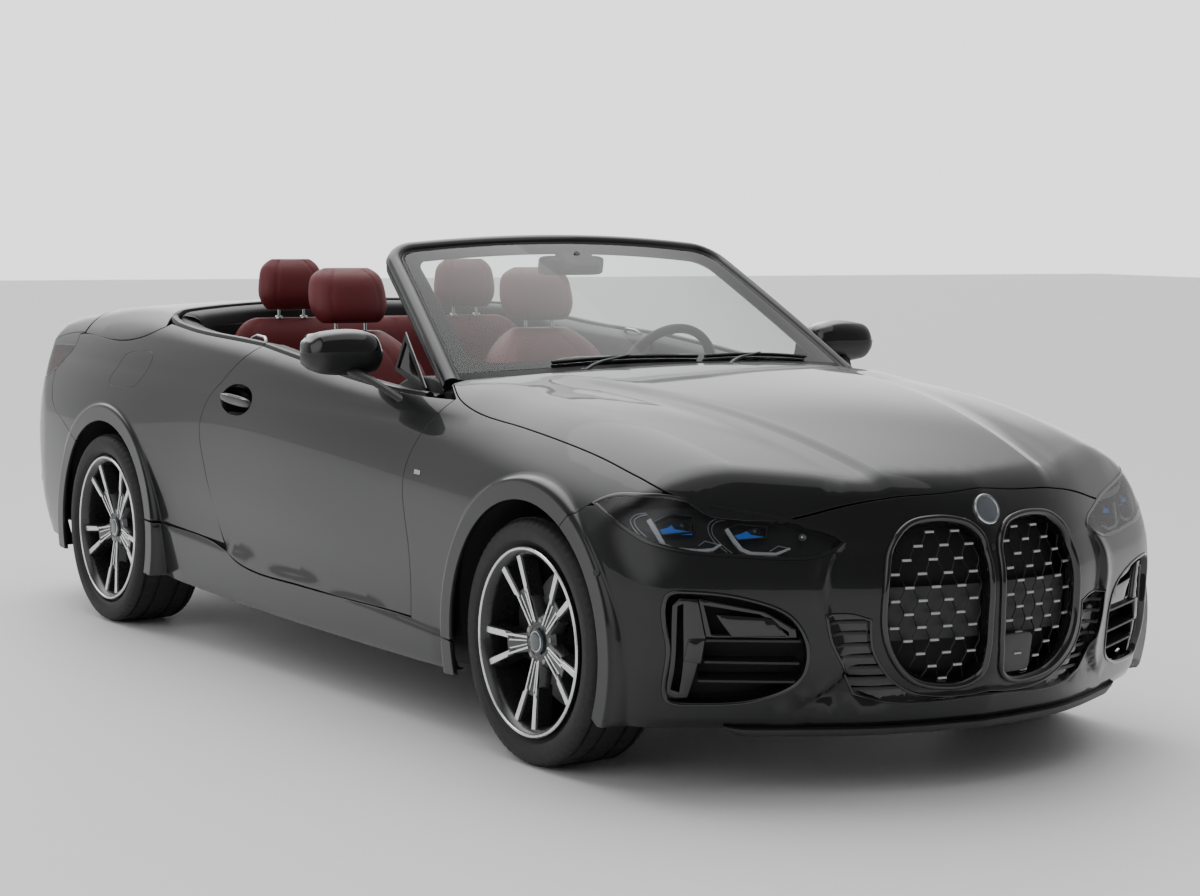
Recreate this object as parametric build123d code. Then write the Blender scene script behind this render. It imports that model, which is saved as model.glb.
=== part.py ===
from build123d import *
import math
import os

# Four-seat convertible car, roof stowed. Millimetres, +X forward, +Y to the car's left,
# +Z up, origin on the ground under the middle of the car.

# ---------------------------------------------------------------- clearances
seat_gap = 0.3          # between a piece and the face it is seated on
shut_gap = 6.0          # between a moving panel and its neighbours
skin = 14.0             # pressed panel with its folded flange
smallest_pressing = 2.0e5   # slivers of the tub below this volume are left off

# ---------------------------------------------------------------- chassis sizes
front_axle_x = 1537.0
rear_axle_x = -1314.0
wheel_radius = 331.0
front_wheel_y = 788.0
rear_wheel_y = 800.0
front_tyre_width = 225.0
rear_tyre_width = 244.0
bead_radius = 241.0
flange_radius = 255.0
barrel_inner_radius = 226.0
flange_half_width = 111.0
hub_inner = -58.0       # wheel's seat on the hub, from the wheel's middle plane
disc_inner = -53.0
disc_thickness = 30.0
disc_radius = 184.0
disc_bore = 74.6
spoke_inner = 34.0
spoke_outer = 92.0
spoke_pairs = 5
front_spoke_turn = 46.5
rear_spoke_turn = 54.0
kingpin_y = 700.0
carrier_bottom = 176.0
carrier_top = 486.0
axle_pocket_top = 262.0
front_beam_half = 475.0
rear_beam_half = 590.0
pipe_channel_half = 62.0
silencer_half = 420.0
silencer_top = 340.0
arch_radius = 378.0
jack_places = (960.0, -760.0)
jack_y = 690.0
jack_z = 160.0
well_radius = 402.0

# ---------------------------------------------------------------- cabin and bays
cabin_front = 800.0
cabin_rear = -1010.0
cabin_half = 735.0
floor_top = 240.0
tunnel_half = 120.0
tunnel_top = 420.0
bay_front = 1960.0
bay_rear = 900.0
bay_half = 430.0
bay_floor = 330.0
boot_front = -1100.0
boot_rear = -2080.0
boot_half = 520.0
boot_floor = 370.0
boot_top = 680.0
roof_well_half = 620.0
roof_well_floor = 720.0
lid_seam_x = -1750.0
step_front = -640.0           # front face of the raised floor under the rear bench
door_inner = 741.0
deck_rear = -1090.0
deck_half = 700.0
door_step = 22.0        # the door's inner layer is this much smaller all round
door_skin_y = 866.0

# ---------------------------------------------------------------- body sections
# Each row is one cross-section: x, then half-widths (y) and heights (z) of the bottom edge b,
# sill s, widest line w, shoulder c and top edge t, and the crown height m on the centreline.
columns = ["x", "yb", "zb", "ys", "zs", "yw", "zw", "yc", "zc", "yt", "zt", "zm"]
rows = [
    (-2384, 420, 370, 500, 430, 540, 560, 500, 690, 400, 735, 745),
    (-2335, 560, 275, 650, 340, 690, 590, 650, 800, 520, 865, 880),
    (-2270, 620, 250, 710, 320, 755, 620, 705, 900, 590, 1012, 1040),
    (-2130, 680, 230, 785, 300, 832, 640, 770, 930, 630, 1030, 1066),
    (-1900, 720, 215, 852, 300, 895, 640, 805, 965, 680, 1055, 1092),
    (-1600, 740, 200, 882, 300, 924, 640, 832, 970, 720, 1065, 1108),
    (-1200, 750, 190, 882, 300, 922, 650, 842, 978, 750, 1062, 1106),
    (-700, 775, 178, 870, 292, 899, 690, 850, 968, 780, 1042, 1060),
    (0, 785, 170, 865, 280, 892, 700, 850, 925, 775, 995, 1010),
    (600, 785, 166, 866, 276, 893, 680, 842, 885, 745, 950, 1000),
    (950, 780, 165, 870, 278, 899, 668, 832, 875, 690, 978, 1020),
    (1250, 770, 165, 876, 286, 909, 660, 824, 864, 645, 966, 1003),
    (1537, 760, 165, 885, 300, 916, 650, 812, 849, 610, 942, 973),
    (1800, 745, 165, 880, 300, 908, 620, 778, 812, 565, 900, 930),
    (1980, 730, 160, 855, 290, 878, 560, 705, 775, 505, 850, 880),
    (2100, 640, 158, 750, 280, 782, 540, 615, 745, 430, 808, 840),
    (2200, 500, 156, 580, 275, 615, 520, 505, 708, 330, 768, 798),
    (2290, 330, 156, 410, 270, 440, 500, 350, 672, 210, 712, 735),
    (2350, 200, 160, 250, 265, 270, 490, 210, 630, 130, 665, 680),
    (2384, 90, 200, 110, 300, 120, 470, 100, 560, 60, 585, 592),
]
side_bulges = [0.0, 0.02, 0.07, 0.06]   # rise of each side arc as a share of its chord

# ---------------------------------------------------------------- panel outlines
# Side view, (x, z).
door_line = [
    (852, 306), (876, 483), (845, 693), (895, 852), (949, 931), (796, 936), (784, 1100), (-245, 1100),
    (-245, 1038), (-392, 936), (-520, 830), (-557, 750), (-519, 611), (-417, 400),
    (-372, 367), (-184, 313), (152, 309),
]
fender_line = [
    (858, 298), (882, 483), (851, 693), (901, 852), (955, 936), (790, 942), (790, 1100),
    (1990, 1100), (1990, 735), (1790, 716), (1812, 600), (1812, 420), (1500, 310), (1173, 283),
]
skirt_line = [(-990, 100), (-990, 398), (-350, 364), (1180, 277), (1180, 100)]
quarter_line = [
    (-251, 1120), (-251, 1041), (-397, 941), (-526, 832), (-563, 750), (-525, 611), (-423, 403),
    (-378, 372), (-950, 405), (-1100, 330), (-1560, 330), (-1600, 645), (-1845, 738),
    (-1935, 860), (-1870, 1120),
]
roof_lid_side = [(-1744, 1200), (-1744, 996), (-1314, 990), (-1090, 1042), (-1090, 1200)]
# Plan view, (x, y) of the left half, mirrored to close.
hood_line = [
    (850, 735), (933, 763), (1051, 785), (1307, 785), (1512, 784), (1702, 767), (1768, 758),
    (1936, 733), (2060, 645), (2167, 542), (2224, 303), (2242, 112),
]
hood_rear_line = [(1032, 0), (1015, 300), (960, 560)]
boot_lid_line = [(-1756, 700), (-1900, 690), (-2100, 655), (-2240, 600), (-2300, 560), (-2420, 540)]
# Front view, (y, z).
headlight_line = [
    (851, 724), (802, 752), (734, 751), (549, 714), (423, 667), (400, 650), (475, 608),
    (575, 606), (753, 620), (821, 644), (845, 683),
]
kidney_line = [
    (14, 330), (14, 600), (38, 668), (95, 702), (170, 706), (240, 692), (292, 640), (320, 565),
    (330, 489), (318, 395), (272, 318), (205, 275), (110, 262), (50, 275),
]
side_intake_line = [(813, 519), (764, 516), (555, 470), (512, 409), (505, 299), (574, 257),
                    (740, 238), (798, 252)]
lower_intake_line = [(0, 240), (350, 240), (455, 300), (470, 420), (440, 470), (356, 470),
                     (330, 370), (280, 300), (205, 258), (0, 252)]
tail_lamp_line = [(860, 800), (815, 900), (640, 950), (430, 930), (420, 880), (600, 840), (700, 790)]
exhaust_y = 560.0
exhaust_z = 300.0
tip_radius = 46.0
pipe_z = 252.0

# ---------------------------------------------------------------- glass and seats
screen_base = (795, 692, 990)
screen_base_mid = (965, 1020)
screen_top = (228, 575, 1328)
screen_top_mid = (262, 1360)
screen_thickness = 5.0
glass_gap = 0.6
frame_depth = 42.0
seat_y = 370.0
seat_half = 245.0
steering_centre = (300, 370, 934)
steering_tilt = 25.0
steering_radius = 185.0
boss_length = 58.0
mirror_arm_x = 690.0

# ---------------------------------------------------------------- kidney mesh and door handle
kidney_wall = 16.5
mesh_setback = 18.0
mesh_thickness = 5.0
cell_flat = 13.0        # half the flat top of one six-sided mesh opening
cell_reach = 24.0       # half its width between the side corners
cell_half = 31.0        # half its height
cell_across = 39.5      # from one column of openings to the next
cell_up = 68.0          # from one opening to the next in a column
handle_x = -287.0
handle_z = 849.0
handle_pocket_radius = 50.0
handle_pocket_y = 846.0
handle_half = 124.0
handle_outer_y = 892.0

os.makedirs("parts", exist_ok=True)


# ---------------------------------------------------------------- shared shapes
def section(row, inset):
    """One closed body section of lines and arcs, moved inward by inset."""
    r = dict(zip(columns, row))
    side = [
        (r["yb"] - inset, r["zb"] + inset),
        (r["ys"] - inset, r["zs"] + 0.3 * inset),
        (r["yw"] - inset, r["zw"]),
        (r["yc"] - 0.8 * inset, r["zc"] - 0.6 * inset),
        (r["yt"] - 0.4 * inset, r["zt"] - inset),
    ]

    def point(y, z):
        return Vector(r["x"], y, z)

    def bulge(a, b, share):
        middle_y = (a[0] + b[0]) / 2 + (b[1] - a[1]) * share
        middle_z = (a[1] + b[1]) / 2 - (b[0] - a[0]) * share
        return middle_y, middle_z

    edges = [Edge.make_line(point(-side[0][0], side[0][1]), point(*side[0]))]
    for a, b, share in zip(side, side[1:], side_bulges):
        if share == 0:
            edges.append(Edge.make_line(point(*a), point(*b)))
        else:
            edges.append(Edge.make_three_point_arc(point(*a), point(*bulge(a, b, share)), point(*b)))
    y_top, z_top = side[-1]
    crown = point(0, r["zm"] - inset)
    edges.append(Edge.make_three_point_arc(point(y_top, z_top), crown, point(-y_top, z_top)))
    for a, b, share in reversed(list(zip(side, side[1:], side_bulges))):
        start = point(-b[0], b[1])
        end = point(-a[0], a[1])
        if share == 0:
            edges.append(Edge.make_line(start, end))
        else:
            y_mid, z_mid = bulge(a, b, share)
            edges.append(Edge.make_three_point_arc(start, point(-y_mid, z_mid), end))
    return Wire(edges)


def body(inset, first=0, last=0):
    """Ruled loft through the body sections, moved inward by inset."""
    used = rows[first:len(rows) - last]
    return Solid.make_loft([section(row, inset) for row in used], True)


def place(axis, at, a, b):
    """Point from a position along an axis and two coordinates across it."""
    if axis == "x":
        return Vector(at, a, b)
    if axis == "y":
        return Vector(a, at, b)
    return Vector(a, b, at)


def prism(axis, points, low, high, grow=0.0):
    """Straight prism of an outline along an axis, with the outline grown or shrunk."""
    wire = Wire.make_polygon([place(axis, low, a, b) for a, b in points], close=True)
    if grow:
        wire = wire.offset_2d(grow, Kind.INTERSECTION)
        if isinstance(wire, (list, ShapeList)):
            wire = wire[0]
    reach = place(axis, high - low, 0, 0)
    return Solid.extrude(Face(wire), reach)


def block(x0, x1, y0, y1, z0, z1):
    """Box from its limits."""
    centre = ((x0 + x1) / 2, (y0 + y1) / 2, (z0 + z1) / 2)
    return Pos(*centre) * Box(x1 - x0, y1 - y0, z1 - z0)


def rod(start, end, radius):
    """Round bar between two points."""
    a = Vector(*start)
    b = Vector(*end)
    return Solid.make_cylinder(radius, (b - a).length, Plane(origin=a, z_dir=(b - a)))


def turned_y(x, y, z, profile):
    """Ring about an axis along Y at (x, z); profile holds (radius, offset from y)."""
    points = [Vector(x + radius, y + offset, z) for radius, offset in profile]
    face = Face(Wire.make_polygon(points, close=True))
    return Solid.revolve(face, 360, Axis((x, y, z), (0, 1, 0)))


def both(points):
    """Left-half outline in plan or front view closed by its mirror image."""
    return points + [(x, -y) for x, y in reversed(points) if y != 0]


def other_side(shape):
    return mirror(shape, about=Plane.XZ)


def solids_of(shape):
    """Flat list of the solids in a shape or list of shapes."""
    if isinstance(shape, (list, ShapeList)):
        found = []
        for item in shape:
            found += solids_of(item)
        return found
    return list(shape.solids())


def largest(shape):
    return max(solids_of(shape), key=lambda s: s.volume)


def save(name, *shapes):
    """Write one node as a compound of its separate solids."""
    kept = [s for s in solids_of(list(shapes)) if s.volume > 100]
    export_step(Compound(children=kept) if len(kept) > 1 else kept[0], "parts/" + name + ".step")


outer = body(0)
inner = body(skin, 1, 1)
core = body(skin + seat_gap, 1, 1)
clear_body = body(-seat_gap)
shell = outer - inner

# ---------------------------------------------------------------- panel cutters
def lid_pair(axis, outline, low, high):
    """Cutter for a panel and the larger one that leaves its shut gap."""
    return prism(axis, outline, low, high), prism(axis, outline, low, high, shut_gap)


hood_half = hood_rear_line + hood_line
hood_far = [(x, -y) for x, y in hood_half if y != 0]
hood_outline = hood_half + hood_far[len(hood_rear_line) - 1:][::-1]
hood_outline = hood_outline + hood_far[:len(hood_rear_line) - 1][::-1]
hood_cut, hood_room = lid_pair("z", hood_outline, 700, 1200)
cowl_outline = [(790, 700)] + [(x - shut_gap, y) for x, y in reversed(hood_rear_line)] + [
    (x - shut_gap, -y) for x, y in hood_rear_line[1:]] + [(790, -700), (770, 0)]
cowl_cut = prism("z", cowl_outline, 900, 1200)
cowl_room = prism("z", cowl_outline, 880, 1200, seat_gap)
boot_cut, boot_room = lid_pair("z", both(boot_lid_line), 742, 1200)
roof_cut, roof_room = lid_pair("y", roof_lid_side, -1000, 1000)


def arch(x, y_start):
    """Round wheel opening through the left side of the body."""
    return rod((x, y_start, wheel_radius), (x, 1100, wheel_radius), arch_radius)


arch_front = arch(front_axle_x, 500)
arch_rear = arch(rear_axle_x, 500)
lamp_room = prism("x", headlight_line, 1650, 2450)
door_gap = prism("y", door_line, 600, 1000, shut_gap)

# ---------------------------------------------------------------- tub
tub = core & block(-2130, 1990, -1000, 1000, 0, 1300)
cabin = block(cabin_rear, cabin_front, -cabin_half, cabin_half, floor_top, 1300)
tunnel = block(cabin_rear, cabin_front, -tunnel_half, tunnel_half, floor_top, tunnel_top)
seat_step = block(cabin_rear, step_front, -cabin_half, cabin_half, floor_top, 425)
tub = tub - (cabin - tunnel - seat_step)
tub = tub - block(bay_rear, bay_front, -bay_half, bay_half, bay_floor, 1300)
tub = tub - block(1150, bay_front, -640, 640, 700, 1300)
tub = tub - block(boot_rear, boot_front, -boot_half, boot_half, boot_floor, boot_top)
tub = tub - block(boot_rear, lid_seam_x - 15, -boot_half, boot_half, boot_top - 1, 1300)
tub = tub - block(lid_seam_x + 15, boot_front + 20, -roof_well_half, roof_well_half, roof_well_floor, 1300)
for x, half in ((front_axle_x, front_beam_half), (rear_axle_x, rear_beam_half)):
    tub = tub - block(x - 118, x + 118, -half - 22, half + 22, 100, axle_pocket_top)
tub = tub - block(-1705, front_axle_x - 110, -pipe_channel_half, pipe_channel_half, 100, 300)
tub = tub - block(-2135, -1700, -silencer_half - 8, silencer_half + 8, 100, silencer_top + seat_gap)
for side in (1, -1):
    tub = tub - rod((front_axle_x, side * 470, wheel_radius), (front_axle_x, side * 1100, wheel_radius),
                    well_radius)
    tub = tub - rod((rear_axle_x, side * 610, wheel_radius), (rear_axle_x, side * 1100, wheel_radius),
                    well_radius)
door_space = prism("y", door_line, door_inner - shut_gap, 1000, shut_gap)
tub = tub - door_space - other_side(door_space)
lid_clear = body(3 * skin, 1, 1)
lid_layer = core - lid_clear
tub = tub - (lid_layer & hood_room) - (lid_layer & roof_room) - (lid_layer & boot_room)
door_core = prism("y", door_line, door_inner, 1000, -door_step)
door_stop_room = prism("y", door_line, 600, 1000, seat_gap - door_step)
stop = block(800, 905, door_inner + 8, 850, 500, 560) & core
stop = stop - door_stop_room
pads = [
    core & rod((1900, side * 560, 600), (1900, side * 560, 1200), 11) for side in (1, -1)
] + [
    core & rod((-2060, side * 560, 700), (-2060, side * 560, 1200), 11) for side in (1, -1)
] + [
    core & rod((-1140, side * 690, 800), (-1140, side * 690, 1200), 11) for side in (1, -1)
]
for outline, low, high in ((headlight_line, 1650, 2450), (tail_lamp_line, -2450, -1750)):
    pocket = prism("x", outline, low, high, 1)
    tub = tub - pocket - other_side(pocket)
tub = tub - block(-2140, -2085, -520, 520, 200, silencer_top + seat_gap)
tub = largest(tub)
tub = tub + stop + other_side(stop)
for pad in pads:
    tub = tub + pad
for x in jack_places:
    for y in (-jack_y, jack_y):
        tub = tub + block(x - 40, x + 40, y - 28, y + 28, jack_z, 205)
# Seams between the pressings: front structure, cabin floor, body sides and rear structure.
front_seam = block(cabin_front, cabin_front + seat_gap, -1000, 1000, 0, 1300)
rear_seam = block(cabin_rear - seat_gap, cabin_rear, -1000, 1000, 0, 1300)
tub = tub - front_seam - rear_seam
for side in (1, -1):
    for x0, x1, half in ((cabin_front, 2000, bay_half), (cabin_rear, cabin_front, cabin_half),
                         (-2200, cabin_rear, boot_half)):
        tub = tub - block(x0, x1, min(side * half, side * (half + seat_gap)),
                          max(side * half, side * (half + seat_gap)), 0, 1300)
# The rear structure is a floor, side walls, a bulkhead, a shelf with its divider and a rear wall.
rear_levels = [block(-2200, cabin_rear, -1000, 1000, z, z + seat_gap) for z in (boot_floor, roof_well_floor)]
rear_walls = [block(x, x + seat_gap, -1000, 1000, 0, 1300) for x in (boot_rear, lid_seam_x + 15, boot_front)]
for cut in rear_levels + rear_walls:
    tub = tub - cut
# The cabin floor carries the tunnel and the raised floor under the rear bench as pressings of their own.
tub = tub - block(cabin_rear, cabin_front, -cabin_half, cabin_half, floor_top, floor_top + seat_gap)
tub = tub - block(step_front, step_front + seat_gap, -cabin_half, cabin_half, floor_top, 1300)
pressings = [s for s in solids_of(tub) if s.volume > smallest_pressing]
save("underbody", pressings)

# ---------------------------------------------------------------- outer panels
hood = shell & hood_cut
save("hood", largest(hood))
roof_lid = largest(shell & roof_cut)
save("roof_lid", roof_lid)
boot_lid = largest((shell & boot_cut) - roof_room)
save("trunk_lid", boot_lid)

fender = (shell & prism("y", fender_line, 400, 1000)) - hood_room - arch_front - lamp_room - cowl_room
fender = largest(fender - door_gap)
save("fender_L", fender)
save("fender_R", other_side(fender))

quarter = (shell & prism("y", quarter_line, 400, 1000)) - roof_room - boot_room - arch_rear
quarter = quarter - prism("x", tail_lamp_line, -2500, -1750) - cabin
quarter = quarter - block(deck_rear - shut_gap, cabin_rear + 1, 0, deck_half + seat_gap, 900, 1300)
quarter = largest(quarter - door_gap)
save("quarter_L", quarter)
save("quarter_R", other_side(quarter))

skirt = largest((shell & prism("y", skirt_line, 735, 1000)) - arch_front - arch_rear - door_gap)
save("side_skirts", skirt, other_side(skirt))

door = (shell & prism("y", door_line, door_inner, 1000)) + (outer & door_core)
door = largest(door - hood_room)
handle_pocket = rod((handle_x, handle_pocket_y, handle_z), (handle_x, 1000, handle_z), handle_pocket_radius)
handle = block(handle_x - handle_half, handle_x + handle_half, handle_pocket_y + 10, handle_outer_y,
               handle_z - 15, handle_z + 15)
handle = handle - block(handle_x - handle_half + 30, handle_x + handle_half - 30, 800,
                        handle_outer_y - 14, handle_z - 20, handle_z + 20)
door = largest((door - handle_pocket) + handle)
save("door_L", door)
save("door_R", other_side(door))

nose = shell & block(1815, 2450, -1000, 1000, 0, 760)
nose = nose - prism("y", fender_line, -1000, 1000, 3) - hood_room
for outline in (headlight_line, kidney_line, side_intake_line):
    opening = prism("x", outline, 1650, 2450)
    nose = nose - opening - other_side(opening)
low_opening = prism("x", lower_intake_line, 2100, 2450)
nose = nose - low_opening - other_side(low_opening) - arch_front - other_side(arch_front)
save("front_bumper", largest(nose))

# ---------------------------------------------------------------- rear end
tail = shell & block(-2450, -1560, -1000, 1000, 0, 1000)
tail = tail - prism("y", quarter_line, -1000, 1000, 3) - boot_room - roof_room
tail = tail - arch_rear - other_side(arch_rear) - prism("y", skirt_line, -1000, 1000, 3)
tail_lamp_room = prism("x", tail_lamp_line, -2450, -1700)
tail = tail - tail_lamp_room - other_side(tail_lamp_room)
diffuser_room = block(-2450, -2150, -470, 470, 100, 400)
tail = tail - diffuser_room - block(-2150, -1500, -640, 640, 0, 330)
tip_ways = [rod((-2450, side * exhaust_y, exhaust_z), (-2150, side * exhaust_y, exhaust_z),
                tip_radius + shut_gap) for side in (1, -1)]
for way in tip_ways:
    tail = tail - way
save("rear_bumper", largest(tail))

lamp_skin = outer - Pos(60, 0, 0) * outer
tail_lamp = largest(lamp_skin & prism("x", tail_lamp_line, -2450, -1750, -seat_gap) - boot_room)
save("tail_lamps", tail_lamp, other_side(tail_lamp))

rear_trim = shell & block(-2450, -2150 - seat_gap, seat_gap - 470, 470 - seat_gap, 100, 400 - seat_gap)
fins = [block(-2330, -2200, y - 4, y + 4, 250, 330) & outer for y in (-240, -80, 80, 240)]
rear_trim = largest(rear_trim)
for fin in fins:
    rear_trim = rear_trim + fin
save("rear_trim", largest(rear_trim - tip_ways[0] - tip_ways[1]))

# ---------------------------------------------------------------- front lamps, grille and trim
nose_block = outer & block(1700, 2450, -1000, 1000, 100, 800)
nose_left = outer & block(2050, 2450, 0, 400, 200, 760)
lamp_lens = (nose_block - Pos(-5, 0, 0) * outer) & prism("x", headlight_line, 1650, 2450, -seat_gap)
lamp_lens = lamp_lens - hood_room
lamp_back = Pos(-60, 0, 0) * outer - Pos(-72, 0, 0) * outer
lamp_back = (lamp_back & prism("x", headlight_line, 1650, 2450, -seat_gap)) - hood_room
lamp_parts = [largest(lamp_lens), largest(lamp_back)]
save("headlights", lamp_parts, [other_side(p) for p in lamp_parts])

kidney_ring = prism("x", kidney_line, 2150, 2450, -0.5) - prism("x", kidney_line, 2150, 2450, -kidney_wall)
ring = largest((nose_left - Pos(-24, 0, 0) * nose_left) & kidney_ring)
mesh_layer = Pos(-mesh_setback, 0, 0) * nose_left - Pos(-mesh_setback - mesh_thickness, 0, 0) * nose_left
mesh_face = Face(Wire.make_polygon([Vector(2150, y, z) for y, z in kidney_line], close=True))
cells = []
for column in range(9):
    for row in range(8):
        y = 24 + cell_across * column
        z = 225 + cell_up * row + (cell_up / 2 if column % 2 else 0)
        corners = [(y - cell_flat, z + cell_half), (y + cell_flat, z + cell_half), (y + cell_reach, z),
                   (y + cell_flat, z - cell_half), (y - cell_flat, z - cell_half), (y - cell_reach, z)]
        cells.append(Face(Wire.make_polygon([Vector(2150, a, b) for a, b in corners], close=True)))
mesh_face = mesh_face - cells
mesh = extrude(mesh_face, 300, (1, 0, 0))
mesh = mesh & mesh_layer & prism("x", kidney_line, 2150, 2450, -kidney_wall + 3)
kidney = largest(ring + mesh)
save("grille", kidney, other_side(kidney))

trim = (Pos(-14, 0, 0) * nose_block - Pos(-24, 0, 0) * outer)
lower_slats = []
for z in (330, 370, 410, 450):
    slat = trim & block(2000, 2450, 200, 480, z - 5, z + 5) & prism("x", lower_intake_line, 2100, 2450, -1)
    lower_slats.append(largest(slat))
lower_frame = prism("x", lower_intake_line, 2100, 2450, -1) - prism("x", lower_intake_line, 2100, 2450, -14)
lower_frame = (nose_block - Pos(-24, 0, 0) * outer) & lower_frame
lower_frame = largest(lower_frame & block(2000, 2450, 0, 1000, 0, 600))
side_frame = prism("x", side_intake_line, 1900, 2450, -1) - prism("x", side_intake_line, 1900, 2450, -16)
side_frame = (nose_block - Pos(-30, 0, 0) * outer) & side_frame & block(1996, 2450, 0, 1000, 0, 700)
side_frame = largest(side_frame)
for z in (310, 375, 440):
    side_frame = side_frame + (trim & block(1996, 2450, 480, 830, z - 5, z + 5)
                               & prism("x", side_intake_line, 1900, 2450, -8))
front_trim = [lower_frame, largest(side_frame)]
save("front_trim", front_trim, [other_side(p) for p in front_trim])

# ---------------------------------------------------------------- windscreen
def screen_section(corner, middle, grow_out, grow_down, depth, ahead):
    """Planar band across the car, curved in plan, from a corner and a middle point."""
    x, y, z = corner
    mx, mz = middle
    run = Vector(mx - x, 0, mz - z).normalized()
    slope = Vector(screen_base[0] - screen_top[0], 0, screen_base[2] - screen_top[2]).normalized()
    shift = slope * grow_down + run * ahead
    y = y + grow_out
    a = Vector(x, -y, z) + shift
    m = Vector(mx, 0, mz) + shift
    b = Vector(x, y, z) + shift
    back = run * (-depth - ahead)
    return Wire([
        Edge.make_three_point_arc(a, m, b),
        Edge.make_line(b, b + back),
        Edge.make_three_point_arc(b + back, m + back, a + back),
        Edge.make_line(a + back, a),
    ])


def screen_slab(out_low, out_high, down_low, down_high, depth, ahead=0.0):
    """Slab between the base and top bands of the windscreen."""
    low = screen_section(screen_base, screen_base_mid, out_low, down_low, depth, ahead)
    high = screen_section(screen_top, screen_top_mid, out_high, down_high, depth, ahead)
    return Solid.make_loft([low, high], True)


glass = screen_slab(-glass_gap, -glass_gap, -glass_gap, glass_gap, screen_thickness)
opening = screen_slab(0, 0, 0, 0, 3 * frame_depth, 2 * frame_depth)
surround = screen_slab(36, 46, 30, -44, frame_depth)
surround = surround - opening
surround = surround - clear_body - hood_room
save("windshield_glass", glass)
save("windshield_frame", largest(surround))
glass_side = screen_slab(0, 0, 0, 0, screen_thickness + seat_gap, 2 * frame_depth)
stem = rod((300, 0, 1295), (352, 0, 1350), 9) - glass_side
mirror_body = Pos(300, 0, 1290) * Rot(0, 8, 0) * Box(26, 240, 62)
save("interior_mirror", largest(mirror_body + stem))

# ---------------------------------------------------------------- cowl
cowl = (shell & cowl_cut) - surround
save("cowl", largest(cowl))

# ---------------------------------------------------------------- wheels
def wheel(x, y_middle, width, angle):
    """Rim with split spokes, brake disc and tyre; offsets grow outward on the left side."""
    half = flange_half_width
    barrel = turned_y(x, y_middle, wheel_radius, [
        (barrel_inner_radius, -half), (flange_radius, -half), (flange_radius, -half + 8),
        (bead_radius - seat_gap, -half + 12), (bead_radius - seat_gap, half - 12),
        (flange_radius, half - 8), (flange_radius, half), (barrel_inner_radius + 8, half),
        (barrel_inner_radius, half - 20)])
    hub = turned_y(x, y_middle, wheel_radius, [
        (0, hub_inner), (72, hub_inner), (78, spoke_inner), (66, 76), (34, 82), (0, 82)])
    rim = barrel + hub
    for k in range(spoke_pairs):
        for lean in (-1, 1):
            turn = math.radians(angle + 360 / spoke_pairs * k)
            root = 26 * lean
            tip = 62 * lean
            outline = []
            for radius, across in ((50, root - 13), (50, root + 13), (222, tip + 11), (222, tip - 11)):
                outline.append((
                    x + radius * math.cos(turn) - across * math.sin(turn),
                    wheel_radius + radius * math.sin(turn) + across * math.cos(turn)))
            spoke = prism("y", outline, y_middle + spoke_inner, y_middle + spoke_outer)
            rim = rim + spoke
    dish = turned_y(x, y_middle, wheel_radius, [(0, 78), (60, 76), (225, 96), (225, 130), (0, 130)])
    rim = largest(rim - dish)
    disc = turned_y(x, y_middle, wheel_radius, [
        (disc_bore, disc_inner), (disc_radius, disc_inner), (disc_radius, disc_inner + disc_thickness),
        (disc_bore, disc_inner + disc_thickness)])
    w = width / 2
    tyre = turned_y(x, y_middle, wheel_radius, [
        (bead_radius, -92), (258, -96), (292, -w), (314, -w + 2), (wheel_radius - 5, -w + 14),
        (wheel_radius, -w + 32), (wheel_radius, w - 32), (wheel_radius - 5, w - 14), (314, w - 2),
        (292, w), (258, 96), (bead_radius, 92)])
    return [rim, disc], tyre


front_rim, front_tyre = wheel(front_axle_x, front_wheel_y, front_tyre_width, front_spoke_turn)
rear_rim, rear_tyre = wheel(rear_axle_x, rear_wheel_y, rear_tyre_width, rear_spoke_turn)
save("rim_FL", front_rim)
save("rim_FR", [other_side(p) for p in front_rim])
save("rim_RL", rear_rim)
save("rim_RR", [other_side(p) for p in rear_rim])
save("tyre_FL", front_tyre)
save("tyre_FR", other_side(front_tyre))
save("tyre_RL", rear_tyre)
save("tyre_RR", other_side(rear_tyre))

# ---------------------------------------------------------------- hub carriers and axles
def carrier(x, y_middle, forward):
    """Hub carrier with bearing and brake caliper; forward is the caliper's side of the axle."""
    hub_face = y_middle + hub_inner - seat_gap
    post = block(x - 26, x + 26, kingpin_y - 30, kingpin_y + 22, carrier_bottom, carrier_top)
    bearing = rod((x, kingpin_y - 34, wheel_radius), (x, hub_face, wheel_radius), 46)
    disc_in = y_middle + disc_inner
    disc_out = disc_in + disc_thickness
    near = x + forward * 110
    far = x + forward * 205
    low, high = min(near, far), max(near, far)
    caliper = block(low, high, disc_in - 34, disc_out + 34, wheel_radius - 75, wheel_radius + 75)
    reach = rod((x, disc_in - 40, wheel_radius), (x, disc_out + 40, wheel_radius), 211)
    caliper = caliper & reach
    slot = rod((x, disc_in - 6, wheel_radius), (x, disc_out + 6, wheel_radius), disc_radius + 6)
    caliper = caliper - slot
    link = block(min(x, near), max(x, near), disc_in - 34, disc_in - 12,
                 wheel_radius - 30, wheel_radius + 30)
    return largest(post + bearing + link + caliper)


front_carrier = carrier(front_axle_x, front_wheel_y, -1)
save("knuckle_L", front_carrier)
save("knuckle_R", other_side(front_carrier))


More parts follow.
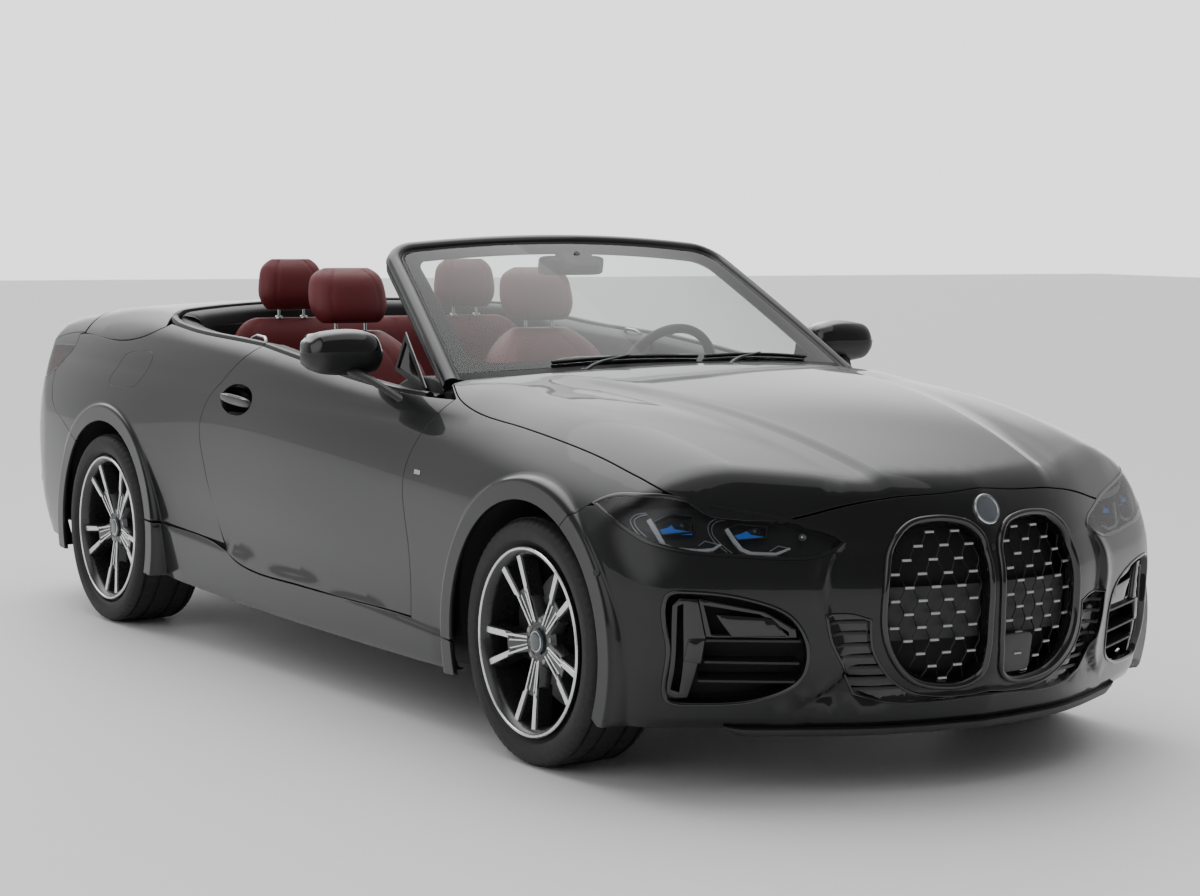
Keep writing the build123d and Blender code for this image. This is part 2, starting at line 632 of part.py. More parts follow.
def axle(x, inner_half, leg_y, leg_radius):
    """Cross beam with lower arms, upper arms and spring legs for one axle."""
    ball_top = carrier_bottom - seat_gap
    upper_z = carrier_top + seat_gap + 12
    roof_z = wheel_radius + well_radius - 1
    beam = block(x - 110, x + 110, -inner_half, inner_half, 190, axle_pocket_top - seat_gap)
    beam = beam - block(x - 111, x + 111, -40, 40, 218, 300)
    for side in (1, -1):
        for lean in (-90, 90):
            beam = beam + rod((x + lean, side * (inner_half - 30), 215), (x, side * kingpin_y, 152), 12)
        beam = beam + rod((x, side * kingpin_y, 146), (x, side * kingpin_y, ball_top), 24)
        beam = beam + rod((x, side * leg_y, 180), (x, side * leg_y, roof_z), 14)
        beam = beam + rod((x, side * leg_y, 330), (x, side * leg_y, 640), leg_radius)
        beam = beam + rod((x, side * leg_y, upper_z), (x, side * kingpin_y, upper_z), 12)
    return largest(beam)


front_axle = axle(front_axle_x, front_beam_half, 560, 44)
save("front_axle", front_axle)
rear_beam = axle(rear_axle_x, rear_beam_half, 640, 26)
rear_carrier = carrier(rear_axle_x, rear_wheel_y, -1)
save("rear_axle", rear_beam, rear_carrier, other_side(rear_carrier))

engine = block(1130, 1800, -220, 220, bay_floor + seat_gap, 820)
save("engine_block", engine)

# ---------------------------------------------------------------- exhaust
silencer = block(-2125, -1710, -silencer_half, silencer_half, 205, silencer_top)
exhaust = silencer + rod((1380, 0, pipe_z), (-1720, 0, pipe_z), 26)
for side in (1, -1):
    exhaust = exhaust + rod((-2110, side * 380, 285), (-2215, side * exhaust_y, exhaust_z), 26)
    tip = rod((-2350, side * exhaust_y, exhaust_z), (-2190, side * exhaust_y, exhaust_z), tip_radius)
    tip = tip - rod((-2360, side * exhaust_y, exhaust_z), (-2215, side * exhaust_y, exhaust_z),
                    tip_radius - 4)
    exhaust = exhaust + tip
save("exhaust", largest(exhaust))

# ---------------------------------------------------------------- interior
dash_profile = [
    (cabin_front - 1, 966), (cabin_front - 1, 560), (700, 560), (560, 700), (470, 760), (455, 880),
    (500, 950), (620, 985)]
dash = prism("y", dash_profile, -cabin_half + 1, cabin_half - 1)
axis_dir = Vector(math.cos(math.radians(steering_tilt)), 0, -math.sin(math.radians(steering_tilt)))
centre = Vector(*steering_centre)
column = rod(tuple(centre + axis_dir * (boss_length + seat_gap)), tuple(centre + axis_dir * 290), 38)
vents = [block(430, 460, y - 60, y + 60, 800, 850) for y in (-560, -90, 90, 560)]
dash = dash + column
for vent in vents:
    dash = dash + vent
screen = block(438, 452, -150, 470, 905, 1010)
dash = dash + screen + block(445, 520, -60, 60, 900, 940)
save("dashboard", largest(dash & core))

console = prism("y", [(470, tunnel_top + seat_gap), (-510, tunnel_top + seat_gap), (-510, 600),
                      (-120, 640), (60, 610), (445, 720), (560, 680), (700, 540),
                      (700, tunnel_top + seat_gap)],
                -105, 105)
lever = rod((60, 0, 600), (40, 0, 700), 16)
save("console", largest((console + lever) - prism("y", dash_profile, -800, 800, 1)))

wheel_plane = Plane(origin=centre, z_dir=axis_dir, x_dir=(0, 1, 0))
steering_rim = wheel_plane.location * Torus(steering_radius - 15, 15)
steering_hub = rod(tuple(centre - axis_dir * 22), tuple(centre + axis_dir * 26), 62)
spoke_reach = steering_radius - 18
for turn in (0, 90, 180):
    spoke_place = wheel_plane.location * Rot(0, 0, turn) * Pos(spoke_reach / 2, 0, 0)
    steering_hub = steering_hub + spoke_place * Box(spoke_reach, 26, 12)
steering = steering_rim + steering_hub
boss = rod(tuple(centre + axis_dir * 20), tuple(centre + axis_dir * boss_length), 24)
save("steering_wheel", largest(steering + boss))


def front_seat():
    """Cushion, back with built-in head restraint and base of the left seat."""
    y0 = seat_y - seat_half
    y1 = seat_y + seat_half
    base = block(-330, 150, y0 + 50, y1 - 50, floor_top + seat_gap, 400)
    cushion_line = [(-350, 400 + seat_gap), (170, 400 + seat_gap), (215, 450), (200, 545), (120, 575),
                    (-300, 540), (-360, 470)]
    cushion = prism("y", cushion_line, y0, y1)
    back = prism("y", [(-290, 535), (-250, 640), (-330, 820), (-400, 1010), (-470, 1170), (-500, 1255),
                       (-545, 1263), (-585, 1230), (-560, 1100), (-520, 900), (-470, 700), (-440, 480),
                       (-365, 470)], y0, y1)
    shoulder = prism("x", [(y0, 400), (y1, 400), (y1, 900), (y1 - 50, 1010), (y1 - 105, 1060),
                           (y1 - 125, 1230), (y1 - 150, 1270), (y0 + 150, 1270), (y0 + 125, 1230),
                           (y0 + 105, 1060), (y0 + 50, 1010), (y0, 900)], -700, -200)
    back = back & shoulder
    back = back - prism("y", cushion_line, y0 - 1, y1 + 1, seat_gap)
    return [largest(base), largest(cushion), largest(back)]


seat_left = front_seat()
save("seat_L", seat_left)
save("seat_R", [other_side(p) for p in seat_left])

bench = prism("y", [(-985, 425.3), (-560, 425.3), (-530, 480), (-560, 545), (-900, 520), (-985, 520)],
              -620, 620)
rear_back = prism("y", [(-985, 520 + seat_gap), (-905, 520 + seat_gap), (-880, 600), (-955, 1040),
                        (-985, 1085), (-1003, 1085)], -620, 620)
rest_low = 1085 + seat_gap
rests = []
for side in (1, -1):
    rest = prism("y", [(-1005, rest_low), (-955, rest_low), (-940, 1180), (-965, 1280), (-1010, 1290),
                       (-1035, 1200)], min(side * 230, side * 470), max(side * 230, side * 470))
    rests.append(rest)
save("rear_seat", bench, rear_back, rests)

# ---------------------------------------------------------------- rear deck
deck = shell & block(deck_rear + shut_gap, cabin_rear, -deck_half, deck_half, 900, 1300)
save("rear_deck", largest(deck))

# ---------------------------------------------------------------- door mirrors
mirror_arm = rod((mirror_arm_x, 800, 895), (mirror_arm_x - 130, 905, 1015), 16)
shell_line = [(800, 975), (1026, 985), (1040, 1030), (1020, 1090), (945, 1112), (830, 1105), (795, 1050)]
housing = prism("x", shell_line, 455, 570)
housing = housing - prism("x", [(815, 990), (1022, 998), (1022, 1076), (938, 1098), (835, 1092)], 440, 461)
door_mirror = largest(mirror_arm + housing)
door_mirror = largest(door_mirror - clear_body)
save("mirror_L", door_mirror)
save("mirror_R", other_side(door_mirror))
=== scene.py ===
import math

import bmesh
import bpy
import numpy as np
from mathutils import Matrix, Vector
from mathutils.geometry import delaunay_2d_cdt


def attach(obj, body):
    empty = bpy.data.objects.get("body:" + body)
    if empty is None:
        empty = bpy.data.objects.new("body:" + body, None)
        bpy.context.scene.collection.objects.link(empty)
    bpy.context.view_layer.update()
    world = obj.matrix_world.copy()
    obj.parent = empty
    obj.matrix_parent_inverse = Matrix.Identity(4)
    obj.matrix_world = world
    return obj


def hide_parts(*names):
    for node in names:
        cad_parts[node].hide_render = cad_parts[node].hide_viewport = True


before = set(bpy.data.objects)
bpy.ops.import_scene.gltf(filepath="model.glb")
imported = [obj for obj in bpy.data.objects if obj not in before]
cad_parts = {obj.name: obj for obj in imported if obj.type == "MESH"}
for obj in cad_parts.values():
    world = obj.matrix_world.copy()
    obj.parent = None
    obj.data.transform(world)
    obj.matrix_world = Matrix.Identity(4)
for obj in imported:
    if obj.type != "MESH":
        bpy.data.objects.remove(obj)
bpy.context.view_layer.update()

# Looks of the convertible. Metres, +X forward, +Y the car's left, Z up from the ground.
# The painted body is one implicit surface; panels are meshed on it inside curves seen from a side, the top,
# the front or round a bumper. Left pieces are built and mirrored for the right.

# ------------------------------------------------------------------ numbers shared with the CAD
FRONT_X, REAR_X, AXLE_Z = 1.537, -1.314, 0.331
FRONT_Y, REAR_Y = 0.788, 0.800
ARCH_R = 0.378
GAP = 0.0023            # half a shut gap

OTHER_SIDE = np.array([1, -1, 1])       # turns a left piece into a right one
HANDS = (("L", False), ("R", True))     # tag of a side, and whether its piece is mirrored

# ------------------------------------------------------------------ body surface
# x, sill (y, z), widest line (y, z), shoulder (y, z), top edge (y, z), crown height
STATIONS = np.array([
    (-2.42, .800, .320, .835, .62, .760, .890, .62, .930, .940),
    (-2.27, .830, .310, .865, .625, .785, .920, .63, .985, .998),
    (-2.13, .845, .305, .884, .63, .800, .945, .64, 1.030, 1.050),
    (-1.90, .868, .300, .907, .64, .815, .968, .68, 1.062, 1.088),
    (-1.60, .882, .300, .924, .64, .832, .980, .72, 1.090, 1.116),
    (-1.20, .882, .300, .922, .65, .842, .990, .75, 1.098, 1.128),
    (-.70, .870, .292, .899, .69, .850, .970, .78, 1.062, 1.080),
    (0.00, .865, .280, .892, .70, .850, .930, .775, 1.018, 1.032),
    (.60, .866, .276, .893, .68, .842, .892, .745, .972, 1.010),
    (.95, .870, .278, .899, .668, .832, .875, .690, .980, 1.022),
    (1.25, .876, .286, .909, .66, .824, .864, .650, .967, 1.003),
    (1.537, .885, .300, .916, .650, .812, .849, .620, .944, .973),
    (1.80, .884, .300, .912, .620, .790, .816, .580, .903, .930),
    (1.98, .880, .292, .903, .575, .765, .784, .540, .862, .888),
    (2.15, .872, .285, .890, .55, .735, .745, .500, .812, .838),
    (2.30, .865, .280, .880, .54, .710, .708, .470, .765, .785),
    (2.45, .860, .280, .870, .54, .690, .670, .450, .715, .735),
])


def spline(xs, ys):
    """Natural cubic spline through the points, as a function of an array."""
    xs = np.asarray(xs, float)
    ys = np.asarray(ys, float)
    n = len(xs)
    h = np.diff(xs)
    a = np.zeros((n, n))
    b = np.zeros(n)
    a[0, 0] = a[-1, -1] = 1
    for i in range(1, n - 1):
        a[i, i - 1], a[i, i], a[i, i + 1] = h[i - 1], 2 * (h[i - 1] + h[i]), h[i]
        b[i] = 6 * ((ys[i + 1] - ys[i]) / h[i] - (ys[i] - ys[i - 1]) / h[i - 1])
    m = np.linalg.solve(a, b)

    def value(x):
        x = np.clip(x, xs[0], xs[-1])
        i = np.clip(np.searchsorted(xs, x) - 1, 0, n - 2)
        d = h[i]
        p, q = (xs[i + 1] - x) / d, (x - xs[i]) / d
        return p * ys[i] + q * ys[i + 1] + ((p ** 3 - p) * m[i] + (q ** 3 - q) * m[i + 1]) * d * d / 6

    return value


COLUMN = [spline(STATIONS[:, 0], STATIONS[:, k]) for k in range(1, 10)]
NOSE_PLAN = spline([0, .17, .33, .50, .70, .81, .885, .95],
                   [2.384, 2.364, 2.325, 2.245, 2.135, 2.065, 1.975, 1.80])
NOSE_RISE = spline([.10, .185, .254, .32, .45, .57, .61, .66, .72, .76, .85],
                   [-.085, -.050, -.030, -.010, 0, -.004, -.018, -.042, -.068, -.085, -.13])
TAIL_PLAN = spline([0, .30, .50, .68, .79, .85, .90, .95],
                   [-2.384, -2.366, -2.335, -2.275, -2.20, -2.11, -1.98, -1.75])
TAIL_RISE = spline([.15, .25, .36, .50, .64, .76, .86, .95, 1.0, 1.1],
                   [.15, .085, .03, .004, 0, .020, .050, .075, .095, .17])


BLADE = spline([.18, .24, .30, .36, .45, .51, .56, .61, .66, .70],
               [.62, .50, .43, .425, .455, .470, .466, .445, .405, .38])


def smax(a, b, k):
    h = np.maximum(k - np.abs(a - b), 0) / k
    return np.maximum(a, b) + h * h * k / 4


def smin(a, b, k):
    return -smax(-a, -b, k)


def ramp(t):
    t = np.clip(t, 0, 1)
    return t * t * (3 - 2 * t)


def sill_line(x):
    return .283 + (1.173 - x) * .0582


def body(x, y, z):
    """Signed closeness to the painted body: below zero inside."""
    y = np.abs(y)
    ys, zs, yw, zw, yc, zc, yt, zt, zm = [c(x) for c in COLUMN]
    up = np.maximum(z - zw, 0) / (zc - zw)
    low = np.maximum(zw - z, 0) / (zw - zs)
    width = yw - (yw - yc) * up ** 2 - (yw - ys) * low ** 2
    # the skirt stands proud of the door below its crease, and a hollow runs above it
    between = ramp((x + 1.0) / .25) * ramp((1.22 - x) / .25)
    below = ramp((sill_line(x) - z) / .022)
    width = width + between * (.012 * below - .0035 * np.exp(-((z - sill_line(x) - .065) / .08) ** 2))
    # soft shoulder line along doors and quarters
    line_z = .905 + np.where(x < .8, (.8 - x) * .018, 0)
    shoulder = ramp((1.3 - x) / .5) * ramp((x + 2.2) / .3)
    width = width - .004 * np.exp(-((z - line_z + .035) / .03) ** 2) * shoulder
    side = y - width
    top = z - (zm - (zm - zt) * (y / yt) ** 2)
    # raised middle of the hood, with an edge that runs in towards the nose
    along = ramp((x - 1.0) / .25) * ramp((2.36 - x) / .2)
    dome_y = .515 - .245 * np.clip((x - .95) / 1.3, 0, 1)
    top = top + along * (.008 - .011 * (1 - ramp((y - dome_y + .03) / .05)))
    top = top + along * .005 * np.exp(-((y - dome_y - .055) / .05) ** 2)
    f = smax(side, top, .075)
    f = smax(f, .160 - z, .05)
    # beside the kidneys the nose steps back behind a blade that runs from lamp to lip
    blade_y = BLADE(np.clip(z, .18, .70))
    step_in = ramp((blade_y - y + .004) / .022) * ramp((.665 - z) / .06) * ramp((z - .235) / .03)
    rise = .006 * np.exp(-((y - blade_y - .012) / .022) ** 2) * ramp((.66 - z) / .08) * ramp((z - .2) / .06)
    nose = x - (NOSE_PLAN(y) + NOSE_RISE(z)) + .014 * step_in - rise
    f = smax(f, nose, .05)
    tail = TAIL_PLAN(y) + TAIL_RISE(z) - x
    f = smax(f, tail, .05)
    for cx, lip_y in ((FRONT_X, .9185), (REAR_X, .9255)):
        r = np.hypot(x - cx, z - AXLE_Z)
        lip = smax(r - .436, y - lip_y, .008)
        f = smin(f, lip, .010)
    return f


def normal_at(p):
    h = .0015
    g = np.empty_like(p)
    for k in range(3):
        d = np.zeros(3)
        d[k] = h
        a, b = p + d, p - d
        g[:, k] = body(a[:, 0], a[:, 1], a[:, 2]) - body(b[:, 0], b[:, 1], b[:, 2])
    return g / np.linalg.norm(g, axis=1)[:, None]


def shoot(origin, heading, near, far):
    """First crossing of the body from outside, for arrays of rays."""
    a = np.full(len(origin), float(near))
    b = np.full(len(origin), float(far))
    steps = 60
    found = np.zeros(len(origin), bool)
    for k in range(steps + 1):
        t = near + (far - near) * k / steps
        p = origin + heading * t
        inside = body(p[:, 0], p[:, 1], p[:, 2]) < 0
        new = inside & ~found
        b[new] = t
        a[new] = max(near, t - (far - near) / steps)
        found |= inside
    a[~found] = b[~found] = far
    for _ in range(30):
        m = (a + b) / 2
        p = origin + heading * m[:, None]
        inside = body(p[:, 0], p[:, 1], p[:, 2]) < 0
        b = np.where(inside, m, b)
        a = np.where(inside, a, m)
    return origin + heading * ((a + b) / 2)[:, None]


class View:
    """A way of looking at the body: flat() drops 3-D points to two numbers and solid() casts them back."""

    def at(self, places):
        """Points on the body at flat places."""
        return self.solid(np.array(places, float))

    def cast(self, points):
        """3-D points moved onto the body along the view."""
        return self.solid(self.flat(np.array(points, float)))

    def curve(self, points, closed=False, step=.012):
        """Curve on the body through flat points."""
        return self.solid(dense(points, closed, step))

    def through(self, points, closed=False, step=.012):
        """Curve on the body through points given as (x, y, z), with an optional corner mark."""
        flat = self.flat(np.array([p[:3] for p in points], float))
        return self.curve([(*q, *p[3:]) for q, p in zip(flat, points)], closed, step)


class Side(View):
    def flat(self, p):
        return p[:, [0, 2]]

    def solid(self, q):
        o = np.stack([q[:, 0], np.full(len(q), 1.0), q[:, 1]], 1)
        return shoot(o, np.array([0, -1.0, 0]), 0, .75)


class Top(View):
    def flat(self, p):
        return p[:, :2]

    def solid(self, q):
        o = np.stack([q[:, 0], q[:, 1], np.full(len(q), 1.2)], 1)
        return shoot(o, np.array([0, 0, -1.0]), 0, .75)


class Front(View):
    def flat(self, p):
        return p[:, 1:3]

    def solid(self, q):
        o = np.stack([np.full(len(q), 2.5), q[:, 0], q[:, 1]], 1)
        return shoot(o, np.array([-1.0, 0, 0]), 0, .9)


class Around(View):
    """Turning view about an upright line at x = middle, for bumpers that wrap round a corner."""

    def __init__(self, middle, facing, radius=.85):
        self.middle, self.facing, self.radius = middle, facing, radius

    def flat(self, p):
        angle = np.arctan2(p[:, 1], (p[:, 0] - self.middle) * self.facing)
        return np.stack([angle * self.radius, p[:, 2]], 1)

    def solid(self, q):
        angle = q[:, 0] / self.radius
        way = np.stack([np.cos(angle) * self.facing, np.sin(angle), np.zeros(len(q))], 1)
        o = np.stack([np.full(len(q), self.middle), np.zeros(len(q)), q[:, 1]], 1)
        return shoot(o + way * 1.3, -way, 0, 1.1)


SIDE, TOP, FRONT = Side(), Top(), Front()
NOSE, TAIL = Around(1.50, 1), Around(-1.45, -1)


def dense(points, closed=True, step=.012):
    """Curve through the points; a point with a third value is a corner."""
    pts = [np.array(p[:2], float) for p in points]
    corner = [len(p) > 2 for p in points]
    n = len(pts)
    spans = n if closed else n - 1
    out = []
    for i in range(spans):
        p1, p2 = pts[i], pts[(i + 1) % n]
        has0 = (closed or i > 0) and not corner[i]
        has3 = (closed or i + 2 < n) and not corner[(i + 1) % n]
        p0 = pts[i - 1] if has0 else 2 * p1 - p2
        p3 = pts[(i + 2) % n] if has3 else 2 * p2 - p1
        length = np.linalg.norm(p2 - p1)
        d1 = max(np.linalg.norm(p1 - p0), 1e-6)
        d3 = max(np.linalg.norm(p3 - p2), 1e-6)
        m1 = ((p1 - p0) / d1 * length + (p2 - p1)) / 2
        m2 = ((p3 - p2) / d3 * length + (p2 - p1)) / 2
        count = max(1, int(math.ceil(length / step)))
        for k in range(count):
            t = k / count
            out.append((2 * t ** 3 - 3 * t ** 2 + 1) * p1 + (t ** 3 - 2 * t ** 2 + t) * m1
                       + (-2 * t ** 3 + 3 * t ** 2) * p2 + (t ** 3 - t ** 2) * m2)
    if not closed:
        out.append(pts[-1])
    return np.array(out)


def area(q):
    x, y = q[:, 0], q[:, 1]
    return .5 * np.sum(x * np.roll(y, -1) - np.roll(x, -1) * y)


def inset(q, d):
    """Move a closed loop inward by d (outward where d is below zero)."""
    sign = 1 if area(q) > 0 else -1
    a = q - np.roll(q, 1, 0)
    b = np.roll(q, -1, 0) - q
    a /= np.maximum(np.linalg.norm(a, axis=1), 1e-9)[:, None]
    b /= np.maximum(np.linalg.norm(b, axis=1), 1e-9)[:, None]
    na = np.stack([-a[:, 1], a[:, 0]], 1)
    nb = np.stack([-b[:, 1], b[:, 0]], 1)
    n = na + nb
    n /= np.maximum((n * n).sum(1) / 2, .6)[:, None]
    return q + sign * d * n


def inside_loop(q, loop):
    x, y = q[:, 0], q[:, 1]
    hit = np.zeros(len(q), bool)
    for (x1, y1), (x2, y2) in zip(loop, np.roll(loop, -1, 0)):
        if y1 == y2:
            continue
        cross = ((y1 > y) != (y2 > y)) & (x < (x2 - x1) * (y - y1) / (y2 - y1) + x1)
        hit ^= cross
    return hit


def near_loop(q, loop, d):
    close = np.zeros(len(q), bool)
    for p in loop:
        close |= ((q - p) ** 2).sum(1) < d * d
    return close


def object_from(name, verts, faces, normals=None, material=None, rides="body"):
    mesh = bpy.data.meshes.new(name)
    mesh.from_pydata([tuple(map(float, v)) for v in verts], [], faces)
    mesh.update()
    mesh.polygons.foreach_set("use_smooth", [True] * len(mesh.polygons))
    if normals is not None:
        mesh.normals_split_custom_set_from_vertices([tuple(map(float, n)) for n in normals])
    obj = bpy.data.objects.new(name, mesh)
    bpy.context.scene.collection.objects.link(obj)
    mesh.materials.append(material)
    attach(obj, rides)
    return obj


def within(points, rings):
    """Which points lie inside the first ring and outside the others."""
    keep = inside_loop(points, rings[0])
    for ring in rings[1:]:
        keep &= ~inside_loop(points, ring)
    return keep


def ring_edges(rings):
    edges, start = [], 0
    for ring in rings:
        n = len(ring)
        edges += [(start + i, start + (i + 1) % n) for i in range(n)]
        start += n
    return edges


def fill_grid(rings, spacing, clear):
    """Staggered points inside the rings that stay clear of them."""
    lo, hi = rings[0].min(0), rings[0].max(0)
    grid = np.array([(u + (.5 * spacing if j % 2 else 0), v)
                     for j, v in enumerate(np.arange(lo[1], hi[1], spacing * .87))
                     for u in np.arange(lo[0], hi[0], spacing)])
    grid = grid[within(grid, rings)]
    for ring in rings:
        grid = grid[~near_loop(grid, ring, clear)]
    return grid


def triangles(points, edges, rings):
    """Flat mesh over the points, inside the rings, that keeps the edges."""
    places, _, faces, _, _, _ = delaunay_2d_cdt([Vector(p) for p in points], edges, [], 0, 1e-7)
    flat = np.array([(v.x, v.y) for v in places])
    centre = np.array([flat[list(f)].mean(0) for f in faces])
    return flat, [tuple(f) for f, good in zip(faces, within(centre, rings)) if good]


def facing(face, verts, way):
    """The face, turned so that it looks along way."""
    a, b, c = (np.asarray(verts[k]) for k in face[:3])
    return face[::-1] if np.dot(np.cross(b - a, c - a), way) < 0 else face


def rolled_edge(view, ring, hole, base, normal, depth):
    """Rows of points and of normals that roll a sheet's edge inward from base."""
    along = np.roll(base, -1, 0) - np.roll(base, 1, 0)
    along /= np.maximum(np.linalg.norm(along, axis=1), 1e-9)[:, None]
    across = np.cross(along, normal)
    # across has to point away from the sheet's own material
    share_inside = inside_loop(view.flat(base + across * .004), ring).mean()
    if share_inside < .5 if hole else share_inside > .5:
        across = -across
    points = [base + across * out - normal * down
              for out, down in ((.0009, .0004), (.0016, .0017), (.0016, depth))]
    return points, [(normal + .5 * across) / 1.12, (.35 * normal + across) / 1.06, across]


def sheet(view, loops, spacing=.03, gap=GAP, lift=0.0, depth=.014, lines=(), edge=True):
    """Panel on the body inside loops[0] and outside the others, with crease lines in its mesh."""
    rings = [inset(view.flat(loop), -gap if k else gap) for k, loop in enumerate(loops)]
    pts = [p for ring in rings for p in ring]
    edges = ring_edges(rings)
    grid = fill_grid(rings, spacing, spacing * .55)
    for line in lines:
        flat = view.flat(line)
        good = within(flat, rings)
        for ring in rings:
            good &= ~near_loop(flat, ring, .0065)
        last = None
        for k, q in enumerate(flat):
            if good[k]:
                pts.append(q)
                if last == k - 1:
                    edges.append((len(pts) - 2, len(pts) - 1))
                last = k
        grid = grid[~near_loop(grid, flat, spacing * .42)]
    flat, faces = triangles(pts + list(grid), edges, rings)
    points = view.solid(flat)
    normals = normal_at(points)
    points = points + normals * lift
    faces = [facing(f, points, normals[f[0]]) for f in faces]
    verts, norms = list(points), list(normals)
    start = 0
    for k, ring in enumerate(rings if edge else []):
        n = len(ring)
        index = list(range(start, start + n))
        start += n
        for row, row_normals in zip(*rolled_edge(view, ring, k > 0, points[index], normals[index], depth)):
            below = list(range(len(verts), len(verts) + n))
            verts += list(row)
            norms += list(row_normals)
            for i in range(n):
                j = (i + 1) % n
                faces.append(facing((index[i], index[j], below[j], below[i]), verts, norms[below[i]]))
            index = below
    return np.array(verts), faces, np.array(norms)


def shell(*measures, **options):
    """A sheet without normals of its own, as make() takes it."""
    return sheet(*measures, **options)[:2]


def cut_sheet(loops, place, spacing=.03):
    """Flat outline with holes, meshed and then set in space by place(points)."""
    rings = [np.asarray(r, float) for r in loops]
    pts = [p for ring in rings for p in ring] + list(fill_grid(rings, spacing, spacing * .5))
    flat, faces = triangles(pts, ring_edges(rings), rings)
    return place(flat), faces


def mirrored(part):
    v, f, n = part
    return v * OTHER_SIDE, [t[::-1] for t in f], n * OTHER_SIDE


def joined(*parts):
    v, f, n, s = [], [], [], 0
    for pv, pf, pn in parts:
        v.append(pv)
        n.append(pn)
        f += [tuple(i + s for i in t) for t in pf]
        s += len(pv)
    return np.concatenate(v), f, np.concatenate(n)


# ------------------------------------------------------------------ materials
def material(name, color, rough=.5, metal=0.0, coat=0.0, bump=0.0, scale=60.0, vary=.12, spec=.5,
             rough_vary=.08, sheen=0.0, kind="noise"):
    """Principled material whose tone, roughness and height vary with a noise or Voronoi texture."""
    m = bpy.data.materials.new(name)
    m.use_nodes = True
    nt = m.node_tree
    bsdf = nt.nodes["Principled BSDF"]
    coords = nt.nodes.new("ShaderNodeTexCoord")
    if kind == "noise":
        tex = nt.nodes.new("ShaderNodeTexNoise")
        tex.inputs["Scale"].default_value = scale
        tex.inputs["Detail"].default_value = 6
        fac = tex.outputs["Fac"]
    else:
        tex = nt.nodes.new("ShaderNodeTexVoronoi")
        tex.inputs["Scale"].default_value = scale
        fac = tex.outputs["Distance"]
    nt.links.new(coords.outputs["Object"], tex.inputs["Vector"])
    mix = nt.nodes.new("ShaderNodeMix")
    mix.data_type = "RGBA"
    dark = [c * (1 - vary) for c in color[:3]] + [1]
    light = [min(1, c * (1 + vary)) for c in color[:3]] + [1]
    mix.inputs[6].default_value = dark
    mix.inputs[7].default_value = light
    nt.links.new(fac, mix.inputs[0])
    nt.links.new(mix.outputs[2], bsdf.inputs["Base Color"])
    spread = nt.nodes.new("ShaderNodeMapRange")
    spread.inputs["To Min"].default_value = max(.02, rough - rough_vary / 2)
    spread.inputs["To Max"].default_value = min(1, rough + rough_vary / 2)
    wide = nt.nodes.new("ShaderNodeTexNoise")
    wide.inputs["Scale"].default_value = scale * .13 + 1
    nt.links.new(coords.outputs["Object"], wide.inputs["Vector"])
    nt.links.new(wide.outputs["Fac"], spread.inputs["Value"])
    nt.links.new(spread.outputs["Result"], bsdf.inputs["Roughness"])
    if bump:
        b = nt.nodes.new("ShaderNodeBump")
        b.inputs["Strength"].default_value = bump
        b.inputs["Distance"].default_value = .001
        nt.links.new(fac, b.inputs["Height"])
        nt.links.new(b.outputs["Normal"], bsdf.inputs["Normal"])
    bsdf.inputs["Metallic"].default_value = metal
    bsdf.inputs["Coat Weight"].default_value = coat
    bsdf.inputs["Coat Roughness"].default_value = .03
    bsdf.inputs["Specular IOR Level"].default_value = spec
    bsdf.inputs["Sheen Weight"].default_value = sheen
    return m


PAINT = material("black_metallic_paint", (.011, .0114, .0126), rough=.34, metal=.35, coat=.72, scale=2200,
                 vary=.55, rough_vary=.05, spec=.18)
GLOSS = material("gloss_black", (.006, .006, .0065), rough=.08, coat=.6, scale=40, rough_vary=.04)
SATIN = material("satin_black_plastic", (.017, .017, .018), rough=.42, bump=.05, scale=900, rough_vary=.1)
GRAIN = material("grained_black_plastic", (.013, .013, .013), rough=.58, bump=.35, scale=1400, kind="voronoi")
MATT = material("matt_black", (.008, .008, .008), rough=.8, bump=.1, scale=300)
TRIM = material("satin_graphite_trim", (.050, .051, .053), rough=.33, metal=.7, scale=500, rough_vary=.06)
DASH_GREY = material("light_mesh_edge", (.42, .43, .44), rough=.35, metal=.6, scale=300)
CHROME = material("bright_metal", (.62, .63, .64), rough=.18, metal=1.0, scale=400, rough_vary=.08)
ALLOY = material("machined_alloy", (.78, .79, .80), rough=.24, metal=1.0, scale=700, bump=.06, rough_vary=.1)
ALLOY_DARK = material("black_alloy", (.014, .014, .015), rough=.28, coat=.5, scale=300)
DISC = material("brake_disc_steel", (.33, .33, .33), rough=.34, metal=1.0, scale=900, bump=.08, rough_vary=.2)
IRON = material("cast_metal", (.055, .055, .057), rough=.55, metal=.6, bump=.4, scale=250)
RUBBER = material("tyre_rubber", (.012, .012, .0125), rough=.62, bump=.12, scale=500, rough_vary=.16)
LEATHER = material("burgundy_leather", (.185, .026, .032), rough=.46, bump=.35, scale=950, kind="voronoi",
                   vary=.25, rough_vary=.12)
LEATHER_BLACK = material("black_leather", (.014, .0135, .013), rough=.5, bump=.35, scale=900, kind="voronoi")
STITCH = material("seam_thread", (.23, .04, .048), rough=.7, bump=.5, scale=1500)
CARPET = material("black_carpet", (.012, .012, .012), rough=.95, bump=.7, scale=1800, sheen=.3)
STEEL = material("exhaust_steel", (.36, .35, .33), rough=.35, metal=1.0, scale=120, rough_vary=.2)
UNDER = material("underbody_coating", (.014, .014, .014), rough=.85, bump=.5, scale=400)
LAMP_LIGHT = material("light_guide", (.78, .80, .82), rough=.25, scale=200, vary=.04, spec=.5)
LAMP_BLUE = material("blue_lamp_accent", (.012, .10, .55), rough=.25, scale=200)
# Painted glow: the blue accents get a weak blue emission so that they read bright though the lamp is not lit.
blue_shader = LAMP_BLUE.node_tree.nodes["Principled BSDF"]
blue_shader.inputs["Emission Color"].default_value = (.04, .30, 1, 1)
